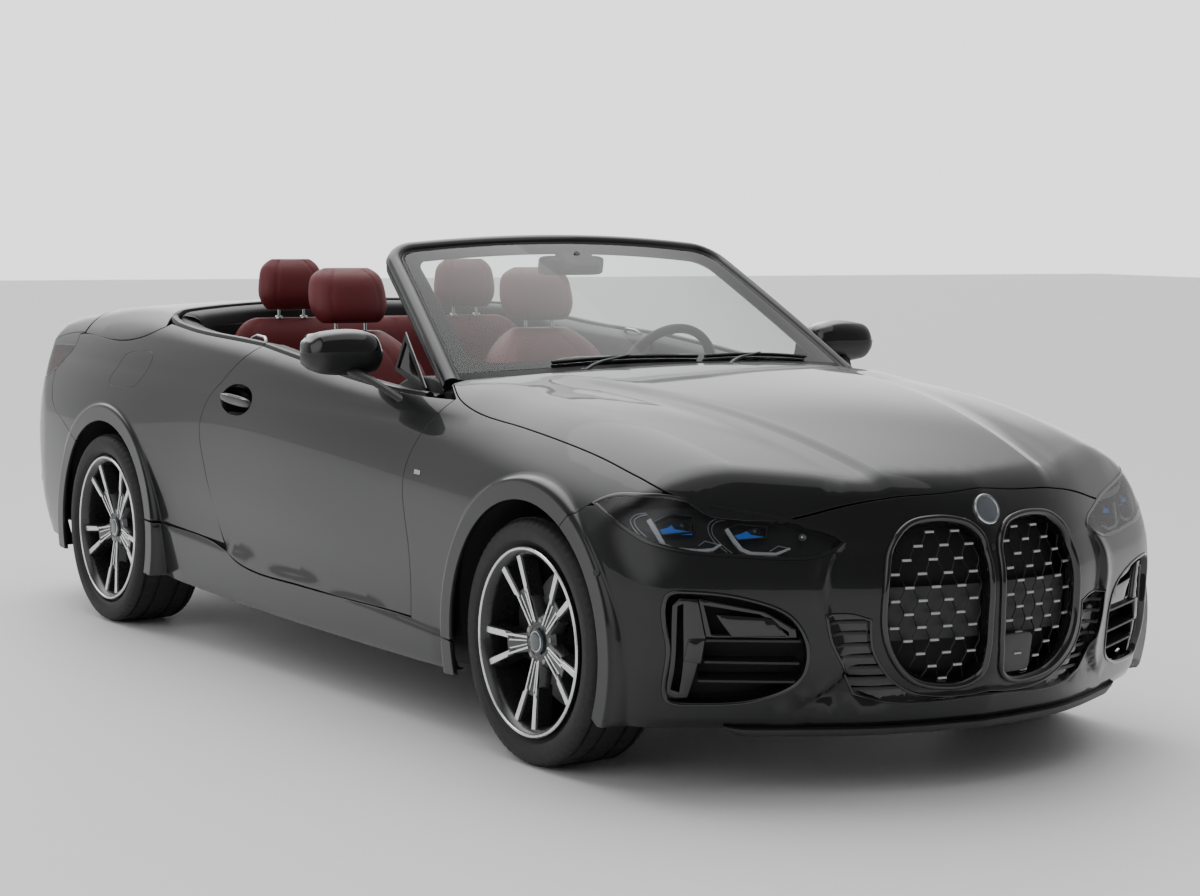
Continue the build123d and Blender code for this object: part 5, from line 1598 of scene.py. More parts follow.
# ------------------------------------------------------------------ rear: bumper, lamps, trim, pipes
LAMP_OUT = [(-1.800, .868, .952, 1), (-1.900, .905, .868, 1), (-2.000, .880, .826), (-2.140, .760, .826),
            (-2.250, .600, .838, 1), (-2.215, .645, .905, 1), (-2.130, .705, .926), (-1.960, .800, .946)]
tail_lamp3 = TAIL.through(LAMP_OUT, True)
rear_edge3 = SIDE.curve([(-1.800, .990), (-1.786, .963), (-1.903, .860)])
rear_seam3 = SIDE.curve([(-1.903, .860), (-1.885, .800), (-1.839, .740), (-1.700, .680), (-1.557, .620)])
rear_arch3 = SIDE.at(arc_points(REAR_X, ARCH_R, 130, 198, 40))
low_u = TAIL.flat(rear_arch3[-1:])[0]
rear_low3 = TAIL.at([(low_u[0] * (1 - t), low_u[1] + (.262 - low_u[1]) * min(1, t * 2))
                     for t in np.linspace(.02, 1, 60)])
rear_half = polyline(boot_base[::-1], boot_down[::-1], boot_side[::-1], rear_edge3, rear_seam3, rear_arch3,
                     rear_low3)
rear_loop = np.concatenate([rear_half, flip_y(rear_half[1:-1])[::-1]])
DIFFUSER = [(-2.36, .0, .415), (-2.34, .300, .413), (-2.31, .420, .385, 1), (-2.30, .455, .300, 1),
            (-2.30, .470, .268, 1)]
diff_half = TAIL.through(DIFFUSER)
diff_loop = np.concatenate([diff_half, flip_y(diff_half[1:])[::-1]])
diff_ends = [TAIL.flat(line[-1:])[0][0] for line in (diff_loop, diff_half)]
diff_loop = polyline(diff_loop, TAIL.at([(u, .268) for u in np.linspace(*diff_ends, 40)[1:-1]]))
tip_hole = TAIL.cast([(-2.30, .560 + .054 * math.cos(a), .300 + .050 * math.sin(a))
                      for a in np.linspace(0, 2 * math.pi, 32)[:-1]])
REFLECTOR = [(-2.20, .700, .420, 1), (-2.06, .830, .428, 1), (-2.06, .830, .448, 1), (-2.20, .700, .442, 1)]
rear_part = sheet(TAIL, [rear_loop, tail_lamp3, flip_y(tail_lamp3), diff_loop, tip_hole, flip_y(tip_hole)],
                  .035, lines=REAR_LIPS + [flip_y(f) for f in REAR_LIPS])
panel("rear_bumper_skin", "rear_bumper", rear_part)
RED_LENS = glass("red_lens", (.55, .03, .035), 1.45)
LAMP_TAIL = material("tail_lamp_inner", (.34, .03, .035), rough=.3, scale=120, vary=.2)
make("tail_lamp_lenses", sided([shell(TAIL, [tail_lamp3], .02, .003, -.0010, edge=False)]), RED_LENS,
     "tail_lamps", 60, close=False)
make("tail_lamp_housings", sided([shell(TAIL, [tail_lamp3], .02, .003, -.030, edge=False)]), LAMP_RED,
     "tail_lamps", 60, close=False)
make("tail_lamp_rims", sided([bands(TAIL, tail_lamp3,
                                    [(-.0008, -.004), (-.0008, .0005), (.0015, .0010), (.0040, .0),
                                     (.0045, -.032)])]), GLOSS, "tail_lamps", 50, close=False)


def tail_bar(points, width, lift):
    p = TAIL.through(points, step=.01)
    n = normal_at(p)
    p = p + n * lift
    t = np.gradient(p, axis=0)
    t /= np.linalg.norm(t, axis=1)[:, None]
    return flat_bar(p, np.cross(t, n), n, width, .006)


make("tail_lamp_bars", sided([tail_bar([(-1.850, .868, .930), (-1.960, .830, .905), (-2.080, .760, .896),
                                        (-2.200, .660, .885)], .012, -.012),
                              tail_bar([(-1.925, .888, .868), (-2.010, .858, .848), (-2.130, .755, .846),
                                        (-2.225, .625, .853)], .012, -.012)]), LAMP_TAIL, "tail_lamps",
     60)
LID_LAMP = [(-2.262, .560, .842, 1), (-2.225, .600, .900, 1), (-2.262, .520, .912), (-2.300, .430, .905, 1),
            (-2.312, .400, .870, 1), (-2.300, .470, .848)]
make("trunk_lid_lamps", sided([shell(TAIL, [TAIL.through(LID_LAMP, True)], .02, 0, .0018, .006)]), LAMP_RED,
     None, 40, close=False, rides="trunk_lid")
PLATE_SPOT = soft_box(-.262, .262, .500, .622, .012, .012)
plate3 = TAIL.solid(TAIL.flat(np.stack([np.full(len(PLATE_SPOT), -2.35), PLATE_SPOT[:, 0], PLATE_SPOT[:, 1]],
                                       1)))
make("rear_plate_recess", [bands(TAIL, plate3, [(-.008, -.001), (-.006, .0022), (-.002, .0022), (0, -.001)])],
     SATIN, None, 40, close=False)
make("diffuser_panel", [shell(TAIL, [diff_loop], .03, .001, -.014, edge=False),
                        bands(TAIL, diff_loop, [(-.0006, -.004), (-.0006, .001), (.003, .002), (.006, -.002),
                                                (.007, -.018)])], GLOSS, "rear_trim", 50,
     close=False)
fins_back = []
for y in (-.330, -.165, 0, .165, .330):
    outline = [(-2.150, .285), (-2.150, .200), (-2.300, .225), (-2.352, .275), (-2.352, .385), (-2.330, .392)]
    low_i, high_i = inset(np.array(outline), .002), np.array(outline)
    ring = []
    for off, o in ((-.006, low_i), (-.0045, high_i), (.0045, high_i), (.006, low_i)):
        ring += [(x, y + off, z) for x, z in o]
    n = len(outline)
    ends = [tuple(range(n)), tuple(range(3 * n, 4 * n))[::-1]]
    fins_back.append((np.array(ring), grid_faces(4, n, wrap_cols=True) + ends))
make("diffuser_fins", fins_back, SATIN, "rear_trim", 30)
make("rear_reflectors", sided([shell(TAIL, [TAIL.through(REFLECTOR, True)], .02, 0, .0012, .004)]), LAMP_RED,
     None, 40, close=False)
pipes = []
for y in (-.56, .56):
    pipes.append(lathe((-2.190, y, .300), (-1, 0, 0),
                       [(.0420, .0), (.0452, .010), (.0460, .150), (.0458, .158), (.0440, .160),
                        (.0425, .156), (.0418, .030), (.0300, .020)], 48))
make("exhaust_tips", pipes, CHROME, None, 40, close=False)
make("exhaust_tip_insides", [lathe((-2.190, y, .300), (-1, 0, 0), [(0, .028), (.041, .030), (.0412, .140)], 40)
                             for y in (-.56, .56)], MATT, None, 60, close=False)

# ------------------------------------------------------------------ seats
def curve(points):
    """Spline through (x, z) points as a function of the share of its length."""
    pts = np.array(points, float)
    along = np.concatenate([[0], np.cumsum(np.linalg.norm(np.diff(pts, axis=0), axis=1))])
    along /= along[-1]
    fx, fz = spline(along, pts[:, 0]), spline(along, pts[:, 1])
    return lambda v: np.stack([fx(v), fz(v)], -1)


class Pad:
    """Crowned closed cushion between a seen line and a hidden line (x, z), half_w wide on each side of y."""

    def __init__(self, seen, hidden, half_w, y, relief=None, grooves=(), flat=4.6, ends=5.0):
        self.seen, self.hidden, self.y = curve(seen), curve(hidden), y
        self.half_w = spline([p[0] for p in half_w], [p[1] for p in half_w])
        self.relief, self.grooves, self.flat, self.ends = relief, grooves, flat, ends
        line = self.seen(np.linspace(0, 1, 60))
        self.length = float(np.linalg.norm(np.diff(line, axis=0), axis=1).sum())

    def sink(self, s, v):
        """Depth of the sewn channels at a place on the seen side."""
        w = self.half_w(s)
        total = np.zeros_like(s)
        for points, depth, width in self.grooves:
            q = np.array(points, float)
            near = np.full(s.shape, 1e9)
            for (s0, v0), (s1, v1) in zip(q[:-1], q[1:]):
                dx, dy = (s1 - s0) * self.length, v1 - v0
                px, py = s * self.length - s0 * self.length, v - v0
                t = np.clip((px * dx + py * w * dy * w) / (dx * dx + dy * dy * w * w + 1e-12), 0, 1)
                near = np.minimum(near, np.hypot(px - t * dx, (py - t * dy) * w))
            total += depth * np.exp(-(near / width) ** 2)
        return total

    def place(self, s, v, d, lift=0.0):
        """Points at shares s along, v across and d deep, from 1 on the seen side to -1 on the hidden one."""
        f, h = self.seen(s), self.hidden(s)
        mid, a = (f + h) / 2, (f - h) / 2
        unit = a / np.linalg.norm(a, axis=-1)[..., None]
        e = np.clip(1 - np.abs(2 * s - 1) ** self.ends, 0, 1) ** (1 / 2.2)
        w = self.half_w(s) * (.82 + .18 * e)
        front = np.clip(d, 0, 1) ** .6
        rise = (self.relief(s, v) if self.relief else 0) * front * e
        rise = rise - self.sink(s, v) * (d > 0) + lift
        xz = mid + a * (d * (.12 + .88 * e))[..., None] + unit * rise[..., None]
        return np.stack([xz[..., 0], self.y + w * v, xz[..., 1]], -1)

    def mesh(self, rows=84, cols=112, thick=.055):
        ang = np.linspace(0, 2 * math.pi, 1441)[:-1]
        v, d = power(np.cos(ang), 2 / self.flat), power(np.sin(ang), 2 / 2.7)
        wide = float(self.half_w(.5))
        step = np.hypot(np.diff(np.append(v, v[0])) * wide, np.diff(np.append(d, d[0])) * thick)
        along = np.concatenate([[0], np.cumsum(step)])
        at = np.linspace(0, along[-1], cols, endpoint=False)
        vi = np.interp(at, along, np.append(v, v[0]))
        di = np.interp(at, along, np.append(d, d[0]))
        s = .45 * (.5 - .5 * np.cos(np.linspace(0, math.pi, rows))) + .55 * np.linspace(0, 1, rows)
        s = np.clip(s, .0015, .9985)
        sg, vg = np.meshgrid(s, vi, indexing="ij")
        dg = np.broadcast_to(di, sg.shape)
        pts = self.place(sg, vg, dg).reshape(-1, 3)
        return pts, capped(rows, cols)

    def thread(self, points):
        """Sewing thread lying along a line on the pad."""
        q = dense([(*p, 1) for p in points], False, .02)
        s, v = q[:, 0], q[:, 1]
        d = np.clip(1 - np.abs(v) ** self.flat, 0, 1) ** (1 / 2.7)
        return tube(self.place(s, v, d, lift=.0004), .0011, 5)


def bolster(v):
    """Share of the side bolster's height at a place across the seat."""
    return ramp((np.abs(v) - .50) / (.78 - .50))


def hollow(v):
    """Share of the bench's dished places at a place across it."""
    return np.exp(-((np.abs(v) - .56) / .26) ** 4)


def both_sides(line):
    """A seam's line on the left and its mirror image."""
    return [[(s, -v) for s, v in line], line]


B_L, B_R = both_sides([(.03, .60), (.30, .58), (.62, .56), (.86, .44), (.985, .30)])
B_CROSS = [(.60, -.56), (.60, 0), (.60, .56)]
C_L, C_R = both_sides([(.02, .62), (.5, .60), (.90, .60), (.985, .62)])
C_CROSS = [(.66, -.60), (.66, .60)]
H_L, H_R = both_sides([(.02, .62), (.5, .64), (.97, .56)])
back_pad = Pad([(-.288, .530), (-.262, .630), (-.330, .815), (-.385, .960), (-.424, 1.052)],
               [(-.420, .480), (-.462, .640), (-.505, .820), (-.538, .960), (-.556, 1.056)],
               [(0, .222), (.25, .236), (.55, .240), (.72, .236), (.86, .205), (.95, .160), (1, .125)], .370,
               lambda s, v: (.006 * (1 - v * v) + .030 * bolster(v) * ramp((.97 - s) / .35)
                             - .010 * (1 - bolster(v)) * np.exp(-((s - .45) / .3) ** 2)),
               [(B_L, .0042, .0048), (B_R, .0042, .0048), (B_CROSS, .0034, .0050),
                ([(.02, -.90), (.6, -.90), (.90, -.80)], .003, .0045),
                ([(.02, .90), (.6, .90), (.90, .80)], .003, .0045)])
cushion_pad = Pad([(-.345, .545), (-.200, .546), (.000, .560), (.120, .570), (.186, .548), (.214, .500)],
                  [(-.350, .430), (-.200, .424), (.000, .420), (.120, .420), (.172, .424), (.196, .446)],
                  [(0, .215), (.3, .236), (.7, .240), (1, .228)], .370,
                  lambda s, v: (.006 * (1 - v * v) + .026 * bolster(v) * ramp((1.02 - s) / .3)
                                + .006 * np.exp(-((s - .83) / .12) ** 2)),
                  [(C_L, .0042, .0048), (C_R, .0042, .0048), (C_CROSS, .0036, .0050),
                   ([(.93, -.60), (.93, .60)], .003, .0045)])
head_pad = Pad([(-.440, 1.078), (-.448, 1.120), (-.462, 1.180), (-.488, 1.240), (-.512, 1.262)],
               [(-.556, 1.080), (-.570, 1.120), (-.584, 1.180), (-.580, 1.238), (-.552, 1.264)],
               [(0, .118), (.25, .134), (.6, .133), (.85, .118), (1, .094)], .370,
               lambda s, v: .008 * (1 - v * v), [(H_L, .0034, .0042), (H_R, .0034, .0042)],
               flat=3.6, ends=3.6)
shell_pad = Pad([(-.408, .450), (-.452, .640), (-.494, .820), (-.527, .960), (-.545, 1.040)],
                [(-.440, .440), (-.490, .640), (-.530, .820), (-.560, .960), (-.572, 1.030)],
                [(0, .205), (.25, .222), (.6, .228), (.8, .210), (1, .130)], .370, flat=5)
red_parts = (("back", back_pad.mesh(), .8), ("cushion", cushion_pad.mesh(), .75),
             ("head_rest", head_pad.mesh(56, 84, .06), .85))     # name, shell, how full the cushion is
threads = [pad.thread(q) for pad, lines in ((back_pad, (B_L, B_R, B_CROSS)),
                                            (cushion_pad, (C_L, C_R, C_CROSS)), (head_pad, (H_L, H_R)))
           for q in lines]
base_parts = [blob((-.070, .370, .335), (.262, .212, .092), .25, .25),
              blob((-.33, .370, .455), (.085, .232, .050), .4, .35),
              blob((-.06, .598, .450), (.210, .012, .040), .4, .5),
              blob((-.06, .142, .450), (.210, .012, .040), .4, .5)]
posts = [tube([(-.497, .370 + d, 1.035), (-.500, .370 + d, 1.100)], .0065, 12) for d in (-.055, .055)]
for tag, flip in HANDS:
    for stem, part, fill in red_parts:
        obj = make("seat_" + stem + "_" + tag, [part], LEATHER, "seat_" + tag, 80, flip)
    make("seat_seams_" + tag, threads, STITCH, "seat_" + tag, 80, flip)
    make("seat_back_shell_" + tag, [shell_pad.mesh(50, 72, .02)], SATIN, "seat_" + tag, 60,
         flip)
    make("seat_base_" + tag, base_parts, SATIN, "seat_" + tag, 50, flip)
    make("seat_posts_" + tag, posts, CHROME, "seat_" + tag, 60, flip)

R_LINES = [[(.03, v), (.97, v)] for v in (-.90, -.24, -.10, .10, .24, .90)]
rear_cushion = Pad([(-.965, .528), (-.880, .520), (-.740, .528), (-.630, .543), (-.566, .535), (-.536, .488)],
                   [(-.965, .440), (-.880, .434), (-.740, .430), (-.640, .430), (-.580, .431), (-.552, .445)],
                   [(0, .590), (.5, .596), (1, .590)], 0.0,
                   lambda s, v: (.008 + .010 * np.exp(-(v / .12) ** 2)
                                 - .016 * hollow(v) * ramp((.9 - s) / .3)),
                   [(q, .0036, .0052) for q in R_LINES] + [([(.62, -.90), (.62, -.24)], .003, .005),
                                                           ([(.62, .24), (.62, .90)], .003, .005)], flat=16)
rear_back = Pad([(-.900, .535), (-.882, .610), (-.915, .800), (-.946, .960), (-.966, 1.055), (-.980, 1.080)],
                [(-.982, .530), (-.988, .620), (-.992, .800), (-.998, .960), (-1.001, 1.050),
                 (-1.002, 1.078)],
                [(0, .590), (.5, .596), (.85, .590), (1, .570)], 0.0,
                lambda s, v: (.006 + .008 * np.exp(-(v / .12) ** 2)
                              - .014 * hollow(v) * ramp((.92 - s) / .25) * ramp((s + .1) / .3)),
                [(q, .0036, .0052) for q in R_LINES] + [([(.60, -.90), (.60, -.24)], .003, .005),
                                                        ([(.60, .24), (.60, .90)], .003, .005)], flat=16)
obj = make("rear_bench_cushion", [rear_cushion.mesh(56, 200, .05)], LEATHER, "rear_seat", 80)
obj = make("rear_bench_back", [rear_back.mesh(64, 200, .04)], LEATHER, "rear_seat", 80)
make("rear_bench_seams", [p.thread(q) for p in (rear_cushion, rear_back) for q in R_LINES], STITCH,
     "rear_seat", 80)
rear_head = Pad([(-.962, 1.106), (-.950, 1.150), (-.950, 1.205), (-.966, 1.258), (-.984, 1.282)],
                [(-1.012, 1.106), (-1.030, 1.150), (-1.036, 1.205), (-1.028, 1.258), (-1.006, 1.283)],
                [(0, .104), (.25, .119), (.6, .116), (.85, .104), (1, .084)], .350,
                lambda s, v: .006 * (1 - v * v), [(H_L, .0034, .0042), (H_R, .0034, .0042)],
                flat=3.8, ends=3.6)
obj = make("rear_head_rests", sided([rear_head.mesh(56, 84, .045)]), LEATHER, "rear_seat", 80)
make("rear_head_rest_seams", sided([rear_head.thread(q) for q in (H_L, H_R)]), STITCH, "rear_seat",
     80)
rear_posts = []
for d in (-.048, .048):
    rear_posts.append(tube([(-.988, .350 + d, 1.060), (-.990, .350 + d, 1.118)], .0060, 12))
    rear_posts.append(lathe((-.9885, .350 + d, 1.079), (0, 0, 1),
                            [(.006, .006), (.012, .005), (.0145, .001), (.0145, -.004)], 20))
make("rear_head_rest_posts", sided(rear_posts), CHROME, "rear_seat", 50)

# ------------------------------------------------------------------ dashboard, console, steering wheel
def slab_along_y(profile, ys, inset_ends=.006, step=.02):
    """Closed (x, z) outline carried across the car, with rounded ends."""
    ring = dense(profile, True, step)
    rows = []
    for k, y in enumerate(ys):
        r = inset(ring, inset_ends) if k in (0, len(ys) - 1) else ring
        rows.append(np.stack([r[:, 0], np.full(len(r), y), r[:, 1]], 1))
    return np.concatenate(rows), capped(len(ys), len(ring))


DASH = [(.792, .560, 1), (.700, .562), (.600, .640), (.545, .705), (.505, .735), (.476, .752, 1),
        (.470, .770, 1), (.474, .800), (.468, .862), (.462, .884), (.478, .918), (.515, .946), (.600, .972),
        (.700, .978), (.790, .968, 1)]
dash_y = np.concatenate([[-.733], np.linspace(-.727, .727, 40), [.733]])
make("dashboard_body", [slab_along_y(DASH, dash_y)], LEATHER_BLACK, "dashboard", 50)
HOOD_Y = (.160, .590)        # ends of the instrument hood
hump = []
for y in np.linspace(*HOOD_Y, 26):
    f = ramp((y - HOOD_Y[0]) / .07) * ramp((HOOD_Y[1] - y) / .07)
    ring = np.array([(.500, .925), (.497, .940 + .030 * f), (.530, .960 + .034 * f), (.600, .972 + .022 * f),
                     (.680, .977 + .006 * f), (.690, .960), (.600, .940), (.500, .925)])
    at = np.linspace(0, 7, 43)[:-1]
    knots = np.arange(8)
    hump.append(np.stack([spline(knots, ring[:, 0])(at), np.full(42, y), spline(knots, ring[:, 1])(at)], 1))
make("instrument_hood", [(np.concatenate(hump), capped(len(hump), 42))], LEATHER_BLACK, "dashboard",
     50)
make("dash_trim_strip", [blob((.4655, 0, .775), (.0060, .690, .0120), .4, .15, 12, 60)], TRIM, "dashboard",
     40)
make("dash_screen", [blob((.447, .160, .9575), (.0065, .308, .0520), .25, .10, 14, 60)], GLOSS, "dashboard",
     40)
VENT_Z = .832
vent_frames, vent_fins, vent_backs = [], [], []
for y, wide in ((.655, .058), (-.655, .058), (.070, .060), (-.070, .060)):
    outer_r = soft_box(-wide, wide, -.026, .026, .010, .010)
    inner_r = soft_box(-wide + .005, wide - .005, -.021, .021, .007, .007)

    def in_dash(q, x, y=y):
        return np.stack([np.full(len(q), x), q[:, 0] + y, q[:, 1] + VENT_Z], 1)

    rows = [in_dash(outer_r, .4640), in_dash(outer_r, .4560), in_dash(inner_r, .4560),
            in_dash(inner_r, .4650)]
    vent_frames.append((np.concatenate(rows), grid_faces(4, len(outer_r), wrap_cols=True)))
    vent_backs.append(cut_sheet([inner_r], lambda q: in_dash(q, .4642), .02))
    for z in (-.012, 0, .012):
        vent_fins.append(rounded_box((.4600, y, VENT_Z + z), (.006, 2 * wide - .012, .0022), .0008))
make("dash_vent_frames", vent_frames, TRIM, "dashboard", 40, close=False)
make("dash_vent_backs", vent_backs, MATT, "dashboard", 40, close=False)
make("dash_vent_fins", vent_fins, SATIN, "dashboard", 40)
CONSOLE = [(.470, .4205, 1), (-.505, .4205, 1), (-.510, .590), (-.480, .606), (-.120, .612, 1), (-.100, .600),
           (.060, .606), (.300, .672), (.440, .716), (.540, .690), (.690, .545, 1), (.690, .4205, 1)]
make("console_body", [slab_along_y(CONSOLE, [-.104, -.099, -.05, 0, .05, .099, .104], .006, .03)], SATIN,
     "console", 40)
make("console_top_plate", [slab_along_y([(-.090, .604, 1), (.060, .6085), (.300, .6745), (.425, .7140, 1),
                                         (.424, .7175, 1), (.299, .6785), (.058, .6120), (-.090, .6075, 1)],
                                        [-.084, -.081, 0, .081, .084], .0012, .03)], GLOSS, "console",
     40)
rest_obj = make("console_arm_rest", [blob((-.305, 0, .6265), (.190, .094, .0190), .42, .28, 22, 60)],
                LEATHER_BLACK, "console", 60)
make("console_selector", [blob((.055, .015, .640), (.028, .017, .016), .55, .6),
                          tube([(.055, .015, .612), (.055, .015, .632)], .012, 16)], GLOSS, "console",
     50)
make("console_knob", [lathe((-.030, -.030, .6085), (0, 0, 1),
                            [(0, .018), (.018, .0178), (.0225, .0150), (.0230, .003), (.0270, .001),
                             (.0270, -.002)], 40)], TRIM, "console", 40)
make("console_cup_rims", [lathe((.215, d, .6525), (-.25, 0, 1),
                                [(.030, -.002), (.032, .004), (.036, .0035), (.0375, -.002)], 40)
                          for d in (-.040, .040)], TRIM, "console", 40)

tilt = math.radians(25)
s_axis = np.array([-math.cos(tilt), 0, math.sin(tilt)])
s_up = np.array([math.sin(tilt), 0, math.cos(tilt)])
s_side = np.array([0, 1.0, 0])
s_c = np.array([.300, .370, .934])


def on_wheel(a, r, lift=0.0):
    return s_c + r * (math.sin(a) * s_side + math.cos(a) * s_up) + lift * s_axis


RIM_STEPS, RIM_SIDES = 96, 18
ring_pts, ring_rad = [], []
for k in range(RIM_STEPS):
    a = 2 * math.pi * k / RIM_STEPS
    flatten = .012 * math.exp(-((a - math.pi) / .38) ** 2)
    ring_pts.append(on_wheel(a, .1690 - flatten))
    ring_rad.append(.0152 + .0022 * math.exp(-((abs((a + math.pi) % (2 * math.pi) - math.pi) - 1.05)
                                               / .22) ** 2))
rim_v = []
for k in range(RIM_STEPS):
    radial = ring_pts[k] - s_c
    radial /= np.linalg.norm(radial)
    for j in range(RIM_SIDES):
        b = 2 * math.pi * j / RIM_SIDES
        rim_v.append(ring_pts[k] + ring_rad[k] * (math.cos(b) * radial + 1.12 * math.sin(b) * s_axis))
rim_mesh = (np.array(rim_v), grid_faces(RIM_STEPS, RIM_SIDES, wrap_rows=True, wrap_cols=True))
make("steering_rim", [rim_mesh], LEATHER_BLACK, "steering_wheel", 60, rides="steering_wheel")
w_axes = np.array([s_side, s_up, s_axis])
hub_part = blob(s_c - .010 * s_axis, (.062, .055, .022), .5, .55, 20, 44, w_axes)
spokes = []
for a0 in (math.radians(97), math.radians(-97)):
    pts = [on_wheel(a0, r, -.012 + .004 * (r / .16)) for r in (.050, .080, .115, .158)]
    spokes.append(tube(pts, [.026, .021, .018, .015], 14, squash=.42))
for d in (-.014, .014):
    spokes.append(tube([s_c + d * s_side - .045 * s_up - .010 * s_axis,
                        s_c + d * 1.6 * s_side - .100 * s_up - .010 * s_axis,
                        s_c + d * 1.8 * s_side - .152 * s_up - .004 * s_axis], [.011, .009, .009], 12,
                       squash=.6))
make("steering_hub", [hub_part] + spokes, SATIN, "steering_wheel", 60,
     rides="steering_wheel")
make("steering_bright_parts", [lathe(s_c + .0115 * s_axis, s_axis,
                                     [(.0165, .0), (.0172, .0018), (.0190, .0014), (.0195, -.001)], 32)]
     + [blob(on_wheel(math.radians(d), .092, -.001), (.020, .012, .0035), .5, .5, 12, 24, w_axes)
        for d in (97, -97)], TRIM, "steering_wheel", 50, rides="steering_wheel")
stalks = [tube([s_c - .070 * s_axis + hand * .04 * s_side,
                s_c - .066 * s_axis + hand * .13 * s_side - .01 * s_up], [.007, .009], 10)
          for hand in (1, -1)]
make("steering_column", [tube([s_c - .040 * s_axis, s_c - .10 * s_axis, s_c - .20 * s_axis],
                              [.034, .044, .055], 20), *stalks], SATIN, None, 60)

# ------------------------------------------------------------------ cabin floor, side trim, belts
carpet = []
carpet_loop = filled(soft_box(-.628, .770, .130, .728, .03, .05), .05)
for hand in (1, -1):
    carpet.append(cut_sheet([carpet_loop], lambda q: np.stack(
        [q[:, 0], hand * q[:, 1], .2420 + .0012 * np.sin(q[:, 0] * 31) * np.sin(q[:, 1] * 27)], 1), .045))
make("cabin_carpets", carpet, CARPET, None, 60, close=False)
wall_card = filled(np.array([(-.985, .560), (-.330, .560), (-.310, .970), (-.985, 1.010)]), .05)


def wall_place(q):
    """Rear side trim with its long dished strip."""
    x, z = q[:, 0], q[:, 1]
    dished = .018 * np.exp(-((z - .72) / .05) ** 4) * ramp((x + .95) / .1) * ramp((-.36 - x) / .1)
    return np.stack([x, .7335 - dished, z], 1)


side_trim = cut_sheet([wall_card], wall_place, .03)
make("rear_side_trims", sided([side_trim]), LEATHER_BLACK, None, 60, close=False)
t = np.linspace(0, 1, 24)[:, None]
belt = np.array([-.660, .722, 1.000]) * (1 - t) + np.array([-.330, .640, .430]) * t
belt[:, 0] += .03 * np.sin(t[:, 0] * math.pi)
strap = swept(belt, np.tile([.86, 0, .5], (len(belt), 1)),
              [(-.024, 0), (.024, 0), (.024, .0018), (-.024, .0018)], up=(0, 1.0, 0))
make("seat_belts", sided([strap]), material("belt_webbing", (.017, .017, .018), rough=.75, bump=.5,
                                            scale=1600), None, 60)
y = .742
bracket = tube([(-.395, y, 1.006), (-.395, y - .012, 1.030), (-.420, y - .020, 1.040),
                (-.475, y - .020, 1.044), (-.497, y - .012, 1.036), (-.500, y, 1.012)], .0055, 10)
make("belt_guides", sided([bracket]), CHROME, None, 60)

# ------------------------------------------------------------------ sail at the pillar foot
sail_tri = np.array([(.545, 1.098), (.704, .944), (.694, .936), (.512, .985), (.505, .994)])
sail_ring = filled(sail_tri, .02)
sail_in = inset(sail_ring, .012)


def sail_place(y_low):
    def place(q):
        return np.stack([q[:, 0], y_low - .020 * (q[:, 1] - .936) / .17, q[:, 1]], 1)
    return place


sail_rows = np.concatenate([sail_place(.7400)(sail_ring), sail_place(.7455)(sail_ring),
                            sail_place(.7455)(sail_in), sail_place(.7400)(sail_in)])
sail_frame = (sail_rows, grid_faces(4, len(sail_ring), wrap_rows=True, wrap_cols=True))
edge_line = np.linspace((.548, 1.101), (.708, .946), 16)
make("sail_panes", sided([cut_sheet([sail_ring], sail_place(.7405), .03)]), GLOSS, "windshield_frame",
     30, close=False)
make("sail_frames", sided([sail_frame]), SATIN, "windshield_frame", 30)
make("sail_bright_edges", sided([tube(sail_place(.7450)(edge_line), .0022, 8)]), CHROME, None, 60)

# ------------------------------------------------------------------ CAD pieces that show as they are
for names, mat in ((("underbody",), UNDER),
                   (("knuckle_L", "knuckle_R", "front_axle", "rear_axle", "engine_block"), IRON),
                   (("exhaust",), STEEL)):
    for name in names:
        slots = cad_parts[name].data.materials
        if not slots:
            slots.append(mat)
        for k in range(len(slots)):
            slots[k] = mat

# ------------------------------------------------------------------ floor, light and camera
floor_material = material("pale_floor", (.90, .90, .90), rough=.55, scale=3, vary=.01, rough_vary=.04,
                          spec=.25)
bpy.ops.mesh.primitive_plane_add(size=80)
floor = bpy.context.object
floor.name = "floor"
floor.data.materials.append(floor_material)

world = bpy.data.worlds.new("studio")
bpy.context.scene.world = world
world.use_nodes = True
sky = world.node_tree
sky_dir = sky.nodes.new("ShaderNodeTexCoord")
SKY_BASE = .17
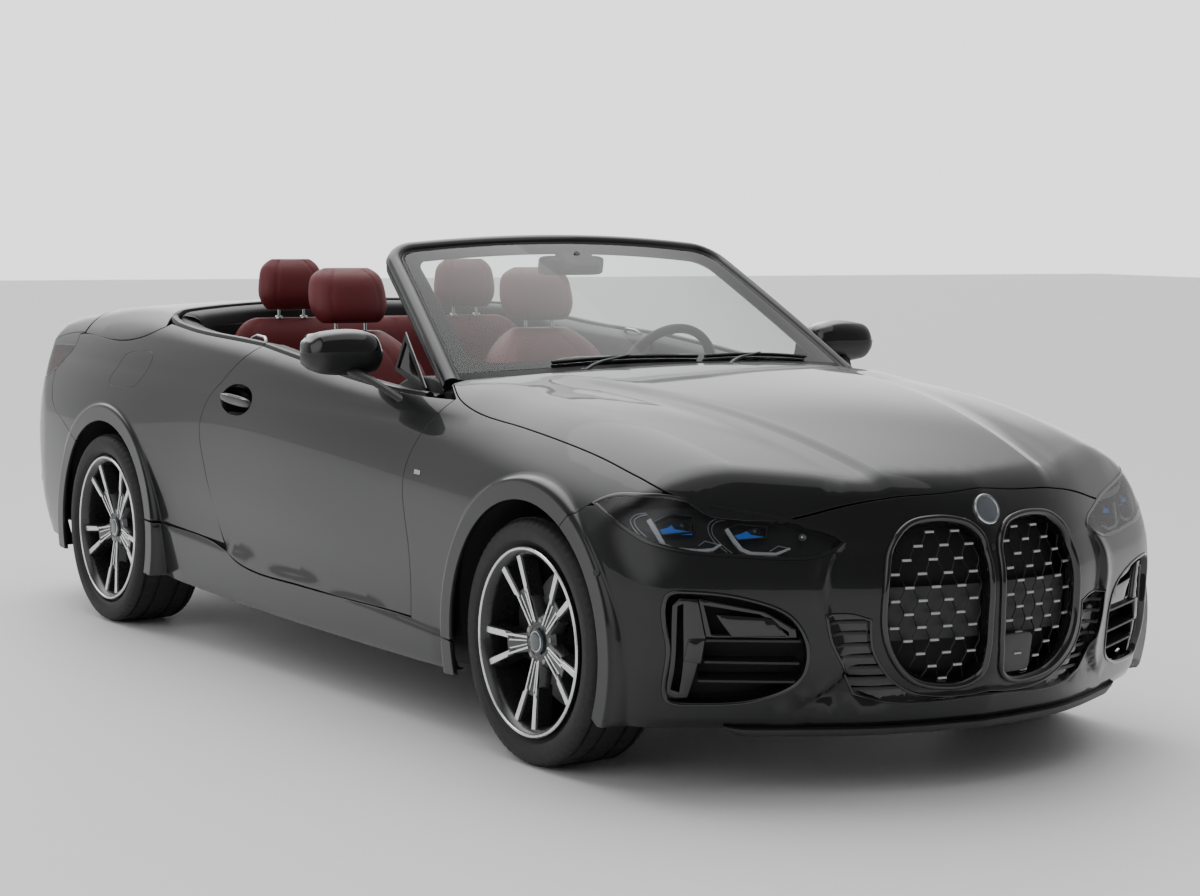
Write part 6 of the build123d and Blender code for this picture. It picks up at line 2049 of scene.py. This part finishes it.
# heading of a bright zone, cosines where it starts and where it is full, and its strength
SKY_ZONES = (((-.84, .54, 0), -.45, .85, .55), ((-.84, .54, -.05), .86, .955, 1.25),
             ((-.60, .10, .79), .74, .965, 2.3), ((.25, -.85, .46), .78, .97, 1.1))
sky_total = None
for heading, low, high, strength in SKY_ZONES:
    dot = sky.nodes.new("ShaderNodeVectorMath")
    dot.operation = "DOT_PRODUCT"
    dot.inputs[1].default_value = Vector(heading).normalized()
    sky.links.new(sky_dir.outputs["Generated"], dot.inputs[0])
    soft = sky.nodes.new("ShaderNodeMapRange")
    soft.interpolation_type = "SMOOTHSTEP"
    soft.inputs["From Min"].default_value = low
    soft.inputs["From Max"].default_value = high
    soft.inputs["To Min"].default_value = 0
    soft.inputs["To Max"].default_value = strength
    sky.links.new(dot.outputs["Value"], soft.inputs["Value"])
    add = sky.nodes.new("ShaderNodeMath")
    add.operation = "ADD"
    sky.links.new(soft.outputs["Result"], add.inputs[0])
    if sky_total is None:
        add.inputs[1].default_value = SKY_BASE
    else:
        sky.links.new(sky_total, add.inputs[1])
    sky_total = add.outputs[0]
sky.nodes["Background"].inputs["Color"].default_value = (1, 1, 1, 1)
sky.links.new(sky_total, sky.nodes["Background"].inputs["Strength"])

bank_data = bpy.data.lights.new("top_bank", "AREA")
bank_data.shape = "RECTANGLE"
bank_data.size, bank_data.size_y = 9.0, 6.0
bank_data.energy = 110
bank = bpy.data.objects.new("top_bank", bank_data)
bpy.context.scene.collection.objects.link(bank)
bank.location = (0.0, 0.3, 6.5)
bank.rotation_euler = (-bank.location).to_track_quat("-Z", "Y").to_euler()

cam_data = bpy.data.cameras.new("camera")
cam = bpy.data.objects.new("camera", cam_data)
bpy.context.scene.collection.objects.link(cam)
bpy.context.scene.camera = cam
cam_data.sensor_width = 36.0
cam_data.lens = 80.27
CAMERA_PLACE = (7.5122, -4.5026, 1.4776)
yaw, pitch, roll = 2.5718, -0.0901, 0.0105
forward = Vector((math.cos(yaw) * math.cos(pitch), math.sin(yaw) * math.cos(pitch), math.sin(pitch)))
right = forward.cross(Vector((0, 0, 1))).normalized()
up = right.cross(forward)
right_r = right * math.cos(roll) + up * math.sin(roll)
up_r = up * math.cos(roll) - right * math.sin(roll)
turn = Matrix((right_r, up_r, -forward)).transposed().to_4x4()
cam.matrix_world = Matrix.Translation(CAMERA_PLACE) @ turn
